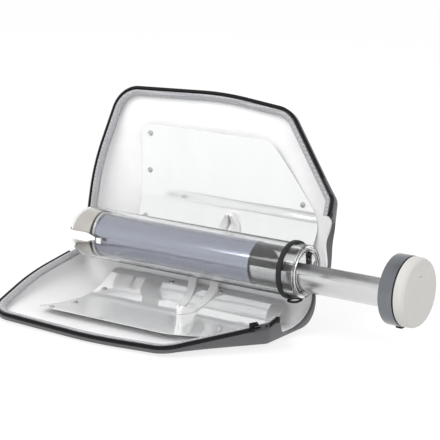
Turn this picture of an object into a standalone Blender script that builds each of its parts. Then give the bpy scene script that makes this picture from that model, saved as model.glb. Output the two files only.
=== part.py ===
"""Tube-type solar oven in a folding reflector case, open, with its cooking tray drawn out.

The two halves of the case are mirror images that fold about one spine line.
A point of a half is given as (u, v, w): u along the spine, v out from it in the plane of the rim,
and w out of that plane, so the dish of each half lies at negative w.
The tube's own frame has +X along its axis, towards the mouth, and X = 0 at the silicone ring.
"""

import math

import bmesh
import bpy
from mathutils import Matrix, Vector

# Vacuum tube: the inner tube, its coat and the film all follow the outer glass
TUBE_RADIUS = 0.029
TUBE_SPINE_SPACE = 0.011
TUBE_FROM_SPINE = TUBE_RADIUS + TUBE_SPINE_SPACE
TUBE_LIFT = math.radians(49)
OUTER_GLASS = 0.0018
VACUUM_SPACE = 0.0037
ABSORBER_RADIUS = TUBE_RADIUS - OUTER_GLASS - VACUUM_SPACE
INNER_GLASS = 0.0015
FLARE_RISE = 0.0009
LIP_BEND_SHARE = 0.6
MOUTH_X = 0.017
MOUTH_CHAMFER = 0.001
DOME_X = -0.274
DOME_DEPTH = 0.021
DOME_SPACE = 0.0172
INNER_DOME_DEPTH = 0.018
INNER_DOME_X = DOME_X - DOME_DEPTH + OUTER_GLASS + DOME_SPACE + INNER_DOME_DEPTH
COATING = 0.0003
COATING_FROM_MOUTH = 0.060
FILM_LENGTH = 0.018
GLASS_STEPS = 36
DOME_STEPS = 6
MOUTH_RING_WIDTH = 0.006
MOUTH_RING_RISE = 0.0024
MOUTH_RING_CORNER = 0.0008
SPRING_WIDTH = 0.003
SPRING_SETBACK = 0.004
SPRING_LOBES = 3
SPRING_LIFT = 0.0008
SPRING_STEPS = 36

# Case: the plan outline of the rim, as corners (u, v, corner radius), clockwise from the spine
CASE_OUTLINE = [
    (-0.3120, 0.000, 0.014),
    (-0.3165, 0.092, 0.240),
    (-0.2960, 0.188, 0.034),
    (-0.1500, 0.195, 0.420),
    (-0.0600, 0.186, 0.036),
    (0.0110, 0.097, 0.011),
    (0.0100, 0.000, 0.003),
]
SIDE_REACH = [0.044, 0.044, 0.036, 0.036, 0.027, 0.020, 0.018]
CORNER_STEPS = [4, 4, 8, 6, 8, 4, 2]
DISH_RINGS = 6
FLOOR_CORNER = 0.012

# Case: the section through its walls, deep enough for half the tube and the fin under it
TUBE_FLOOR_SPACE = 0.0215
SPINE_DEPTH = TUBE_RADIUS + TUBE_FLOOR_SPACE
WEDGE_ANGLE = math.radians(11.5)
LID_OPENING = math.radians(116)
SHELL_WALL = 0.003
LINER_WALL = 0.001
SHELL_TOP = 0.0073
SEAT_GAP = 0.0003

# Case: the half-round notch for the tube's mouth
NOTCH_MARGIN = 0.0075
NOTCH_RADIUS = TUBE_RADIUS + NOTCH_MARGIN
NOTCH_REACH = 0.030
LINER_NOTCH_MARGIN = 0.0006
NOTCH_STEPS = 64

# Rim: zipper tape, teeth and padded binding
ZIPPER_TAPE = 0.0012
ZIPPER_TOP = 0.0007
TEETH_HEIGHT = 0.0025
TEETH_DEPTH = 0.0012
BINDING_START = 0.0027
BINDING_WIDTH = 0.0065
BINDING_ROUND = 0.0018
SPINE_END_GAP = 0.006
ZIPPER_SPINE_GAP = 0.016
ZIPPER_NOTCH_GAP = 0.005
BINDING_NOTCH_GAP = 0.0008
STOP_OUTSIDE = 0.0016
STOP_INSIDE = 0.0020
STOP_TAPER = 0.8

# Zipper slider, pull and the fittings at the chain's end
SLIDER_LENGTH = 0.009
SLIDER_HEIGHT = 0.0084
SLIDER_PLATE = 0.0013
SLIDER_INNER_PLATE = 0.0008
JOIN_OVERLAP = 0.0002
SLIDER_CLEARANCE = 0.0004
SLIDER_FROM_END = 0.012
POST_LENGTH = 0.003
POST_HEIGHT = 0.0008
ARCH_REACH = 0.0026
ARCH_STRIP = 0.0009
ARCH_WIDTH = 0.0018
ARCH_SETBACK = 0.001
PULL_ARCH_ROOM = 0.0006
PULL_LENGTH = 0.015
PULL_WIDTH = 0.0056
PULL_THICKNESS = 0.0012
PULL_BAR = 0.0013

# Reflectors: sheet outline (u, v, corner radius), section and rivets
SHEET_OUTLINE = [
    (-0.262, 0.016, 0.006),
    (-0.262, 0.150, 0.010),
    (-0.082, 0.150, 0.024),
    (-0.018, 0.072, 0.036),
    (-0.018, 0.016, 0.006),
]
SHEET_THICKNESS = 0.0005
REFLECTOR_FOCUS = 0.200
REFLECTOR_TOUCH = 0.080
SHEET_ROWS = 26
SHEET_CORNER_STEPS = [5, 5, 6, 6, 5]
RIVETS = [
    (-0.249, 0.139),
    (-0.251, 0.097),
    (-0.252, 0.040),
    (-0.183, 0.022),
    (-0.111, 0.022),
    (-0.040, 0.084),
]
RIVET_HEAD = 0.0032
RIVET_RISE = 0.0013
RIVET_SHANK = 0.0015
RIVET_CLEARANCE = 0.0003
RIVET_DOME_TURN = math.radians(35)
RIVET_HOLE_DEPTH = 0.006

# Saddles that hang the tube from the spine: a plate round the glass and a web to the fold
SADDLE_PLACES = (-0.235, -0.060)
SADDLE_LENGTH = 0.024
SADDLE_PLATE = 0.001
SADDLE_TURN = math.radians(35)
SADDLE_WEB = 0.0008
SADDLE_SPINE_GAP = 0.0018
SADDLE_STEPS = 8

# Strap over the tube's closed end, and the elastic loop at its mouth
STRAP_WIDTH = 0.010
STRAP_TIP_WIDTH = 0.003
STRAP_THICKNESS = 0.0008
STRAP_REACH = 0.028
STRAP_TIP_LENGTH = 0.012
STRAP_BACK_REACH = 0.012
STRAP_TURN = math.radians(-3)
STRAP_STEPS = 12
KEEPER_SIZE = 0.006
KEEPER_THICKNESS = 0.0014
KEEPER_FROM_TIP = 0.0055
KEEPER_TURN = math.radians(3.4)
LOOP_CORD = 0.0013
LOOP_LENGTH = 0.014
LOOP_WIDTH = 0.020
LOOP_X = 0.003

# Fins that cradle the tube when the case is shut: their arc and window follow the tube
FIN_PLACE = -0.148
FIN_THICKNESS = 0.0022
FIN_CLEARANCE = 0.0008
FIN_TIP = 0.066
FIN_TIP_HEIGHT = 0.0012
FIN_HEEL_WIDTH = 0.004
FIN_HEEL_DROP = 0.003
FIN_SPINE_TURN = math.radians(50)
FIN_FRONT_TURN = math.radians(18)
FIN_WINDOW_MARGIN = 0.0028
FIN_WINDOW_HEEL = 0.0012
FIN_WINDOW_FRONT = math.radians(15)
FIN_WINDOW_LEAST = 0.0006
FIN_FOOT_STEPS = 8

# Tray and cap, with the tray drawn out by TRAY_OUT
TRAY_OUT = 0.112
TRAY_CLEARANCE = 0.0006
TRAY_WALL = 0.0006
TRAY_LENGTH = 0.254
TRAY_RISE = math.radians(6)
TRAY_STEPS = 20
TRAY_LIP = 0.0011
END_PLATE = 0.0008
END_PLATE_RISE = 0.0012
SEAL_THICKNESS = 0.003
SEAL_OVERHANG = 0.003
PLUG_LENGTH = 0.014
PLUG_CHAMFER = 0.002
CAP_MARGIN = 0.0082
CAP_RADIUS = TUBE_RADIUS + CAP_MARGIN
CAP_RING_WALL = 0.0016
CAP_RING_LENGTH = 0.016
CAP_RING_CORNER = 0.0005
CAP_SKIRT = 0.0055
CAP_DISC_WALL = 0.002
CAP_DISC_PROUD = 0.0122
CAP_BEVEL_DEPTH = 0.0066
CAP_BEVEL_WIDTH = 0.0034
CAP_BEVEL_STEPS = 6
CAP_DISC_INSET = 0.0004
CAP_DISC_CROWN = 0.0006
CAP_BODY_SETBACK = 0.001
CAP_GASKET = 0.0008
GASKET_INSET = 0.0006
CAP_STEPS = 40
VENT_RADIUS = 0.0010
VENT_PLACE = (-0.002, 0.018)
SCREW_SPREAD = 0.011
SCREW_HEAD = 0.0028
SCREW_HEAD_RISE = 0.0016
SCREW_SHANK = 0.0014
SCREW_LENGTH = 0.010
SCREW_HOLE_END = 0.0005
TAB_SIZE = (0.007, 0.008, 0.0028)
TAB_SETBACK = 0.004
TAB_CORNER = 0.0007

# Spine tape: a strip down the lower shell's back with a bead on the fold line
SPINE_TAPE_START = 0.016
SPINE_TAPE_END = 0.010
SPINE_TAPE_HEIGHT = 0.025
SPINE_TAPE_THICKNESS = 0.0007
SPINE_TAPE_OFFSET = 0.0014
SPINE_BEAD_START = 0.0045
SPINE_BEAD = 0.001

# How far a cutter runs past the face that it opens
CUT_PAST = 0.002
MERGE = 1e-6


def clear_scene():
    """Empties the startup scene."""
    for item in list(bpy.data.objects):
        bpy.data.objects.remove(item)


def finish(name, color, roughness, metallic=0.0, alpha=1.0):
    """A Principled material in the part's colour."""
    material = bpy.data.materials.new(name)
    material.use_nodes = True
    shader = material.node_tree.nodes["Principled BSDF"]
    shader.inputs["Base Color"].default_value = (*color, 1.0)
    shader.inputs["Roughness"].default_value = roughness
    shader.inputs["Metallic"].default_value = metallic
    shader.inputs["Alpha"].default_value = alpha
    return material


def frame_empty(name, parent, location=(0, 0, 0), turn_x=0.0):
    """An empty that carries the pieces of one body."""
    empty = bpy.data.objects.new(name, None)
    bpy.context.collection.objects.link(empty)
    empty.parent = parent
    empty.location = location
    empty.rotation_euler.x = turn_x
    return empty


def add_piece(name, bm, material, parent, smooth=True):
    """Turns a bmesh into a named object with its faces pointing out."""
    bmesh.ops.remove_doubles(bm, verts=bm.verts, dist=MERGE)
    bmesh.ops.dissolve_degenerate(bm, edges=bm.edges, dist=MERGE)
    bmesh.ops.recalc_face_normals(bm, faces=bm.faces)
    mesh = bpy.data.meshes.new(name)
    bm.to_mesh(mesh)
    bm.free()
    if smooth:
        mesh.shade_smooth()
        mesh.set_sharp_from_angle(angle=math.radians(35))
    mesh.materials.append(material)
    piece = bpy.data.objects.new(name, mesh)
    bpy.context.collection.objects.link(piece)
    piece.parent = parent
    return piece


def cut(piece, cutter):
    """Cuts one object out of another and hides the cutter."""
    cutter.hide_render = True
    cutter.display_type = "WIRE"
    boolean = piece.modifiers.new("cut_" + cutter.name, "BOOLEAN")
    boolean.operation = "DIFFERENCE"
    boolean.solver = "EXACT"
    boolean.object = cutter


def loft(rings, ends=True):
    """Joins rings of equally many points, and closes the first and last with a face."""
    bm = bmesh.new()
    rows = [[bm.verts.new(point) for point in ring] for ring in rings]
    count = len(rows[0])
    for low, high in zip(rows, rows[1:]):
        for i in range(count):
            j = (i + 1) % count
            bm.faces.new((low[i], low[j], high[j], high[i]))
    if ends:
        bm.faces.new(rows[0])
        bm.faces.new(rows[-1])
    else:
        for i in range(count):
            j = (i + 1) % count
            bm.faces.new((rows[-1][i], rows[-1][j], rows[0][j], rows[0][i]))
    return bm


def turned(profile, steps, closed=True):
    """Spins a profile of (x, radius) points about the X axis."""
    bm = bmesh.new()
    verts = [bm.verts.new((x, 0, radius)) for x, radius in profile]
    pairs = list(zip(verts, verts[1:]))
    if closed:
        pairs.append((verts[-1], verts[0]))
    edges = [bm.edges.new(pair) for pair in pairs]
    bmesh.ops.spin(
        bm, geom=verts + edges, cent=(0, 0, 0), axis=(1, 0, 0), angle=2 * math.pi, steps=steps
    )
    return bm


def plate(outline, start_x, thickness):
    """A flat plate square to X, from its outline of (y, z) points."""
    rings = [[Vector((x, y, z)) for y, z in outline] for x in (start_x, start_x + thickness)]
    return loft(rings)


def arc(centre, radius, start, end, steps):
    """Points on an arc in a plane, both ends included."""
    turns = [start + (end - start) * k / steps for k in range(steps + 1)]
    return [(centre[0] + radius * math.cos(t), centre[1] + radius * math.sin(t)) for t in turns]


def inset_corners(corners, insets, smallest=FLOOR_CORNER):
    """Moves each edge of a clockwise outline inwards by its own amount."""
    count = len(corners)
    points = [Vector(corner[:2]) for corner in corners]
    runs = [(points[(i + 1) % count] - points[i]).normalized() for i in range(count)]
    lines = [points[i] + Vector((runs[i].y, -runs[i].x)) * insets[i] for i in range(count)]
    moved = []
    for i in range(count):
        a, b = lines[i - 1], lines[i]
        along, across = runs[i - 1], runs[i]
        reach = (b - a).cross(across) / along.cross(across)
        corner = a + along * reach
        shrink = min(insets[i - 1], insets[i])
        radius = max(corners[i][2] - shrink, min(corners[i][2], smallest))
        moved.append((corner.x, corner.y, radius))
    return moved


def rounded_outline(corners, corner_steps):
    """The outline's points, each corner an arc that meets both edges."""
    points = []
    count = len(corners)
    for i, (u, v, radius) in enumerate(corners):
        here = Vector((u, v))
        before = (Vector(corners[i - 1][:2]) - here).normalized()
        after = (Vector(corners[(i + 1) % count][:2]) - here).normalized()
        half = before.angle(after) / 2
        centre = here + (before + after).normalized() * (radius / math.sin(half))
        start = here + before * (radius / math.tan(half)) - centre
        end = here + after * (radius / math.tan(half)) - centre
        first = math.atan2(start.y, start.x)
        sweep = math.atan2(start.cross(end), start.dot(end))
        steps = corner_steps[i]
        ends = arc(centre, radius, first, first + sweep, steps)
        points.extend(Vector(point) for point in ends)
    return points


def case_depth(v):
    """How deep the wedge-shaped case is at a distance from the spine."""
    return SPINE_DEPTH - v * math.tan(WEDGE_ANGLE)


def dish_rings(inset):
    """Rings of one wall surface of the case, from its top edge down to its flat floor."""
    edges = len(CASE_OUTLINE)
    rim = rounded_outline(inset_corners(CASE_OUTLINE, [inset] * edges, 0.002), CORNER_STEPS)
    reach = [side + inset for side in SIDE_REACH]
    floor = rounded_outline(inset_corners(CASE_OUTLINE, reach), CORNER_STEPS)
    rings = []
    for k in range(DISH_RINGS + 1):
        turn = math.pi / 2 * k / DISH_RINGS
        ring = []
        for a, b in zip(rim, floor):
            u, v = a.lerp(b, 1 - math.cos(turn))
            depth = SHELL_TOP + (case_depth(v) - inset - SHELL_TOP) * math.sin(turn)
            ring.append(Vector((u, v, -depth)))
        rings.append(ring)
    return rings


def on_half(bm, side):
    """Turns (u, v, w) points into the half's own frame: the lower half lies towards -Y."""
    for vert in bm.verts:
        vert.co.y *= side
    return bm


def bowl(outer, inner):
    """An open dish between two wall surfaces, split alike so that nested dishes keep their gap."""
    bm = bmesh.new()
    rims = []
    for inset in (outer, inner):
        rows = [[bm.verts.new(point) for point in ring] for ring in dish_rings(inset)]
        count = len(rows[0])
        for low, high in zip(rows, rows[1:]):
            for i in range(count):
                j = (i + 1) % count
                bm.faces.new((low[i], low[j], high[j]))
                bm.faces.new((low[i], high[j], high[i]))
        bm.faces.new(rows[-1])
        rims.append(rows[0])
    for i in range(len(rims[0])):
        j = (i + 1) % len(rims[0])
        bm.faces.new((rims[0][i], rims[0][j], rims[1][j], rims[1][i]))
    return bm


def notch_cutter(half, radius, side, frame, material):
    """The round cutter for the tube's mouth, on the tube's axis in the shut case."""
    end = CASE_OUTLINE[-1][0]
    start = end - NOTCH_REACH
    circle = arc((TUBE_FROM_SPINE, 0.0), radius, 0, 2 * math.pi, NOTCH_STEPS)[:-1]
    bm = on_half(plate(circle, start, 2 * NOTCH_REACH), side)
    return add_piece(half + "_notch_cutter_" + str(round(radius * 1e4)), bm, material, frame)


def reflector_height(v):
    """The reflecting face's w, a shallow parabola that touches the liner's floor."""
    rise = (v - REFLECTOR_TOUCH) ** 2 / (4 * REFLECTOR_FOCUS)
    return liner_floor(v) + SEAT_GAP + SHEET_THICKNESS + rise


def liner_floor(v):
    """The liner's inner floor at a distance from the spine."""
    return -(case_depth(v) - SHELL_WALL - SEAT_GAP - LINER_WALL)


def span_at(outline, v):
    """The lowest and highest u of an outline at one v."""
    hits = []
    for a, b in zip(outline, outline[1:] + outline[:1]):
        if (a.y - v) * (b.y - v) <= 0 and abs(a.y - b.y) > MERGE:
            hits.append(a.x + (b.x - a.x) * (v - a.y) / (b.y - a.y))
    return min(hits), max(hits)


def reflector_sheet():
    """The curved reflector sheet, ruled along the spine."""
    outline = rounded_outline(SHEET_OUTLINE, SHEET_CORNER_STEPS)
    low = min(point.y for point in outline) + MERGE * 10
    high = max(point.y for point in outline) - MERGE * 10
    rings = []
    for k in range(SHEET_ROWS + 1):
        share = (1 - math.cos(math.pi * k / SHEET_ROWS)) / 2
        v = low + (high - low) * share
        left, right = span_at(outline, v)
        top = reflector_height(v)
        back = top - SHEET_THICKNESS
        corners = ((left, top), (right, top), (right, back), (left, back))
        rings.append([Vector((u, v, w)) for u, w in corners])
    return loft(rings)


def sheet_slope(v):
    """How much the reflecting face leans at a distance from the spine."""
    return math.atan(math.tan(WEDGE_ANGLE) + (v - REFLECTOR_TOUCH) / (2 * REFLECTOR_FOCUS))


def rivet(u, v):
    """A domed blind rivet, square to the sheet, that reaches down to the liner."""
    slope = sheet_slope(v)
    drop = reflector_height(v) - liner_floor(v)
    top = SEAT_GAP
    foot = 2 * SEAT_GAP - drop / (math.cos(slope) + math.sin(slope) * math.tan(WEDGE_ANGLE))
    dome_height = top + RIVET_RISE * math.sin(RIVET_DOME_TURN)
    profile = [(foot, 0), (foot, RIVET_SHANK), (top, RIVET_SHANK), (top, RIVET_HEAD)]
    profile += [(dome_height, RIVET_HEAD * math.cos(RIVET_DOME_TURN)), (top + RIVET_RISE, 0)]
    bm = turned(profile, 8, closed=False)
    upright = Matrix.Rotation(slope, 4, "X") @ Matrix.Rotation(-math.pi / 2, 4, "Y")
    stand = Matrix.Translation((u, v, reflector_height(v))) @ upright
    bmesh.ops.transform(bm, matrix=stand, verts=bm.verts)
    return bm


def rivet_holes():
    """One cutter per rivet hole, all in one mesh."""
    bm = bmesh.new()
    radius = RIVET_SHANK + RIVET_CLEARANCE
    for u, v in RIVETS:
        lean = Matrix.Rotation(sheet_slope(v), 4, "X")
        bmesh.ops.create_cone(
            bm,
            cap_ends=True,
            segments=12,
            radius1=radius,
            radius2=radius,
            depth=RIVET_HOLE_DEPTH,
            matrix=Matrix.Translation((u, v, reflector_height(v))) @ lean,
        )
    return bm


def fin_outline():
    """The fin's side view in (v, w): an arc round the shut tube over the reflector's curve."""
    radius = TUBE_RADIUS + FIN_CLEARANCE
    down = -math.pi / 2
    cradle = arc((TUBE_FROM_SPINE, 0), radius, down - FIN_SPINE_TURN, down + FIN_FRONT_TURN, 10)
    start = cradle[0][0] - FIN_HEEL_WIDTH
    foot = []
    for k in range(FIN_FOOT_STEPS + 1):
        v = FIN_TIP + (start - FIN_TIP) * k / FIN_FOOT_STEPS
        foot.append((v, reflector_height(v) + SEAT_GAP))
    tip = (FIN_TIP, foot[0][1] + FIN_TIP_HEIGHT)
    return cradle + [tip] + foot + [(start, cradle[0][1] - FIN_HEEL_DROP)]


def fin_window():
    """The fin's three-sided opening, between its cradle and its foot."""
    spine_v = TUBE_FROM_SPINE - TUBE_RADIUS * math.sin(FIN_SPINE_TURN) + FIN_WINDOW_HEEL
    front_v = TUBE_FROM_SPINE - TUBE_RADIUS * math.sin(FIN_WINDOW_FRONT)
    radius = TUBE_RADIUS + FIN_CLEARANCE + FIN_WINDOW_MARGIN
    top = -math.sqrt(radius**2 - (TUBE_FROM_SPINE - spine_v) ** 2)
    front = -math.sqrt(radius**2 - (TUBE_FROM_SPINE - front_v) ** 2)
    low = reflector_height(spine_v) + SEAT_GAP + FIN_WINDOW_MARGIN
    front_low = reflector_height(front_v) + SEAT_GAP + FIN_WINDOW_MARGIN
    front_top = max(front, front_low + FIN_WINDOW_LEAST)
    return [(spine_v, top), (front_v, front_top), (front_v, front_low), (spine_v, low)]


def rim_path(first_gap, last_gap):
    """Rim points with their inward directions, from the spine's left end round to the notch."""
    outline = rounded_outline(CASE_OUTLINE, CORNER_STEPS)
    count = len(outline)
    path = []
    for i, here in enumerate(outline):
        run = (outline[(i + 1) % count] - outline[i - 1]).normalized()
        path.append((here, Vector((run.y, -run.x))))
    notch_front = TUBE_FROM_SPINE + NOTCH_RADIUS + last_gap
    keep = []
    for here, inward in path:
        before_notch = here.x < 0 or here.y > notch_front
        past_spine = here.y > first_gap
        if before_notch and past_spine:
            keep.append((here, inward))
    keep.append((notch_side(last_gap), Vector((-1, 0))))
    return keep


def notch_side(gap):
    """The point of the rim's right end that lies a gap in front of the notch."""
    high, low = Vector(CASE_OUTLINE[5][:2]), Vector(CASE_OUTLINE[6][:2])
    v = TUBE_FROM_SPINE + NOTCH_RADIUS + gap
    return low.lerp(high, v / high.y)


def rim_strip(path, section):
    """Sweeps a section of (inset, w) points along the rim."""
    rings = []
    for here, inward in path:
        rings.append([Vector((*(here + inward * s), w)) for s, w in section])
    return loft(rings)


def zipper_section():
    """Half a zipper: a tape that stands on the shell's edge, with its row of teeth outside."""
    top = -ZIPPER_TOP
    return [
        (0.0, -SHELL_TOP + SEAT_GAP),
        (ZIPPER_TAPE, -SHELL_TOP + SEAT_GAP),
        (ZIPPER_TAPE, top),
        (-TEETH_DEPTH, top),
        (-TEETH_DEPTH, top - TEETH_HEIGHT),
        (0.0, top - TEETH_HEIGHT - TEETH_DEPTH),
    ]


def binding_section():
    """The padded binding on top of the wall and the liner, its upper corners rounded."""
    low = -SHELL_TOP + SEAT_GAP
    top = -ZIPPER_TOP
    left, right = BINDING_START, BINDING_START + BINDING_WIDTH
    bend = BINDING_ROUND
    slant = bend * (1 - math.sqrt(0.5))
    return [
        (left, low),
        (right - bend, low),
        (right, low + bend),
        (right, top - bend),
        (right - slant, top - slant),
        (right - bend, top),
        (left + bend, top),
        (left + slant, top - slant),
        (left, top - bend),
    ]


def binding_path():
    """The whole rim except the notch's mouth, from its spine side round to its front side."""
    outline = rounded_outline(CASE_OUTLINE, CORNER_STEPS)
    count = len(outline)
    end = CASE_OUTLINE[-1][0] - NOTCH_REACH - SPINE_END_GAP
    path = [(Vector((end, 0)), Vector((0, 1)))]
    notch_front = TUBE_FROM_SPINE + NOTCH_RADIUS
    for i, here in enumerate(outline):
        run = (outline[(i + 1) % count] - outline[i - 1]).normalized()
        if here.x < 0 or here.y > notch_front:
            path.append((here, Vector((run.y, -run.x))))
    path.append((notch_side(BINDING_NOTCH_GAP), Vector((-1, 0))))
    return path


def chain_stop():
    """The moulded end of a chain: the box on the lower half, the pin on the upper."""
    low = -SHELL_TOP + SEAT_GAP
    section = [
        (-STOP_OUTSIDE, -ZIPPER_TOP),
        (STOP_INSIDE, -ZIPPER_TOP),
        (STOP_INSIDE, low),
        (0.0, low),
        (-STOP_OUTSIDE, low * STOP_TAPER),
    ]
    gaps = (ZIPPER_NOTCH_GAP - SEAT_GAP, BINDING_NOTCH_GAP)
    return rim_strip([(notch_side(gap), Vector((-1, 0))) for gap in gaps], section)


def chain_end():
    """Where the lower zipper ends at the notch: the last rim point, and the direction away from it."""
    corner = Vector(CASE_OUTLINE[5][:2])
    far = Vector(CASE_OUTLINE[4][:2])
    near = Vector(CASE_OUTLINE[6][:2])
    away = (far - corner).normalized()
    reach = CASE_OUTLINE[5][2] / math.tan((far - corner).angle(near - corner) / 2)
    start = corner + away * (reach + SLIDER_FROM_END)
    return start, away


def block(low, high):
    """A box between two corners."""
    bm = bmesh.new()
    bmesh.ops.create_cube(bm, size=1.0)
    size = Vector(high) - Vector(low)
    centre = (Vector(high) + Vector(low)) / 2
    bmesh.ops.transform(
        bm, matrix=Matrix.Translation(centre) @ Matrix.Diagonal((*size, 1)), verts=bm.verts
    )
    return bm


def slider_faces():
    """The faces of the slider's two plates that run along the chain, inside and outside."""
    return ZIPPER_TAPE + SLIDER_CLEARANCE, -TEETH_DEPTH - SLIDER_CLEARANCE


def zipper_slider():
    """Two plates either side of the teeth, joined by the post between the two chains."""
    inner_face, outer_face = slider_faces()
    half = SLIDER_HEIGHT / 2
    front, back = -SLIDER_LENGTH / 2, SLIDER_LENGTH / 2
    post = front + POST_LENGTH
    thin = POST_HEIGHT / 2
    low, high = outer_face - JOIN_OVERLAP, inner_face + JOIN_OVERLAP
    bm = block((front, outer_face - SLIDER_PLATE, -half), (back, outer_face, half))
    pieces = [
        block((front, inner_face, -half), (back, inner_face + SLIDER_INNER_PLATE, half)),
        block((front, low, -thin), (post, high, thin)),
    ]
    outside = outer_face - SLIDER_PLATE
    strip = ARCH_WIDTH / 2
    reach = outside - ARCH_REACH
    leg = SLIDER_LENGTH / 2 - ARCH_SETBACK
    pieces.append(block((-leg, reach - ARCH_STRIP, -strip), (leg, reach, strip)))
    low, high = reach - JOIN_OVERLAP, outside + JOIN_OVERLAP
    for side in (-1, 1):
        start, end = sorted((side * leg, side * (leg - ARCH_STRIP)))
        pieces.append(block((start, low, -strip), (end, high, strip)))
    return bm, pieces


def zipper_pull():
    """A flat pull whose end bar turns under the slider's arch."""
    window = ARCH_WIDTH / 2 + SLIDER_CLEARANCE
    half = PULL_WIDTH / 2
    bar = PULL_BAR / 2
    arch_room = SLIDER_LENGTH / 2 + PULL_ARCH_ROOM
    frame = block((-bar, -PULL_THICKNESS / 2, -half), (PULL_LENGTH, PULL_THICKNESS / 2, half))
    hole = block((bar, -PULL_THICKNESS, -window), (bar + arch_room, PULL_THICKNESS, window))
    grip = bmesh.new()
    turn = Matrix.Translation((PULL_LENGTH - half, 0, 0)) @ Matrix.Rotation(math.pi / 2, 4, "X")
    bmesh.ops.create_cone(
        grip,
        cap_ends=True,
        segments=16,
        radius1=half / 2,
        radius2=half / 2,
        depth=PULL_WIDTH,
        matrix=turn,
    )
    return frame, hole, grip


def dome(base_x, depth, radius, steps=DOME_STEPS):
    """Profile of a closed end, from its pole to its full radius."""
    turns = [math.pi / 2 * k / steps for k in range(steps + 1)]
    return [(base_x - depth * math.cos(t), radius * math.sin(t)) for t in turns]


def glass_outer():
    """The outer glass, with its lip turned in to the inner tube's at the mouth."""
    inside = TUBE_RADIUS - OUTER_GLASS
    lip = ABSORBER_RADIUS + FLARE_RISE + SEAT_GAP
    bend = (TUBE_RADIUS - lip) * LIP_BEND_SHARE
    outside = dome(DOME_X, DOME_DEPTH, TUBE_RADIUS)
    corner = arc((MOUTH_X - bend, TUBE_RADIUS - bend), bend, math.pi / 2, 0, 4)
    back_face = MOUTH_X - OUTER_GLASS
    throat = [(MOUTH_X, lip), (back_face, lip)]
    inner_corner = [(back_face, inside - MOUTH_CHAMFER), (back_face - MOUTH_CHAMFER, inside)]
    back = list(reversed(dome(DOME_X, DOME_DEPTH - OUTER_GLASS, inside)))
    return turned(outside + corner + throat + inner_corner + back, GLASS_STEPS, closed=False)


def glass_inner():
    """The inner glass, its closed end inside the outer one's and its mouth flared."""
    inside = ABSORBER_RADIUS - INNER_GLASS
    outside = dome(INNER_DOME_X, INNER_DOME_DEPTH, ABSORBER_RADIUS)
    flare = ABSORBER_RADIUS + FLARE_RISE
    back_face = MOUTH_X - OUTER_GLASS
    mouth = [
        (back_face - MOUTH_CHAMFER, ABSORBER_RADIUS),
        (back_face, flare),
        (MOUTH_X, flare),
        (MOUTH_X, inside + INNER_GLASS / 2),
        (MOUTH_X - MOUTH_CHAMFER, inside),
    ]
    back = list(reversed(dome(INNER_DOME_X, INNER_DOME_DEPTH - INNER_GLASS, inside)))
    return turned(outside + mouth + back, GLASS_STEPS, closed=False)


def film(base_x, depth, inner_radius, end_x):
    """A thin closed-end sleeve, open towards the mouth."""
    outside = dome(base_x, depth + COATING, inner_radius + COATING)
    inside = list(reversed(dome(base_x, depth, inner_radius)))
    edge = [(end_x, inner_radius + COATING), (end_x, inner_radius)]
    return turned(outside + edge + inside, GLASS_STEPS, closed=False)


def ring_profile(start_x, end_x, inner, outer, bend):
    """A ring's section with its outer corners taken off."""
    return [
        (start_x, inner),
        (start_x, outer - bend),
        (start_x + bend, outer),
        (end_x - bend, outer),
        (end_x, outer - bend),
        (end_x, inner),
    ]


def support_spring():
    """The lobed spring that centres the inner tube's closed end."""
    inner = ABSORBER_RADIUS + SEAT_GAP * 2 + COATING
    outer = TUBE_RADIUS - OUTER_GLASS - SEAT_GAP * 2 - COATING
    middle = outer - SPRING_LIFT
    start = INNER_DOME_X + SPRING_SETBACK
    rings = []
    for x, lobed in ((start, False), (start, True), (start + SPRING_WIDTH, True), (start + SPRING_WIDTH, False)):
        ring = []
        for k in range(SPRING_STEPS):
            turn = 2 * math.pi * k / SPRING_STEPS
            lobe = middle + SPRING_LIFT * math.cos(SPRING_LOBES * turn)
            radius = lobe if lobed else inner
            ring.append(Vector((x, radius * math.cos(turn), radius * math.sin(turn))))
        rings.append(ring)
    return loft(rings, ends=False)


def saddle(place):
    """A plate round the back of the glass, with the web that carries it from the fold line."""
    towards = -(TUBE_LIFT - WEDGE_ANGLE)
    inner = TUBE_RADIUS + SEAT_GAP
    outer = inner + SADDLE_PLATE
    far = TUBE_FROM_SPINE - SADDLE_SPINE_GAP
    thin = SADDLE_WEB / 2
    web_turn = math.asin(thin / outer)
    outline = arc((0, 0), inner, towards - SADDLE_TURN, towards + SADDLE_TURN, SADDLE_STEPS)
    outline += arc((0, 0), outer, towards + SADDLE_TURN, towards + web_turn, SADDLE_STEPS // 2)
    for across in (thin, -thin):
        y = far * math.cos(towards) - across * math.sin(towards)
        z = far * math.sin(towards) + across * math.cos(towards)
        outline.append((y, z))
    outline += arc((0, 0), outer, towards - web_turn, towards - SADDLE_TURN, SADDLE_STEPS // 2)
    return plate(outline, place, SADDLE_LENGTH)


def tube_point(x, turn, lift):
    """A point lift above the outer glass; turn is measured from the front, downwards."""
    outward = Vector((0, -math.cos(turn), -math.sin(turn)))
    return Vector((x, 0, 0)) + outward * (TUBE_RADIUS + lift)


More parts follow.
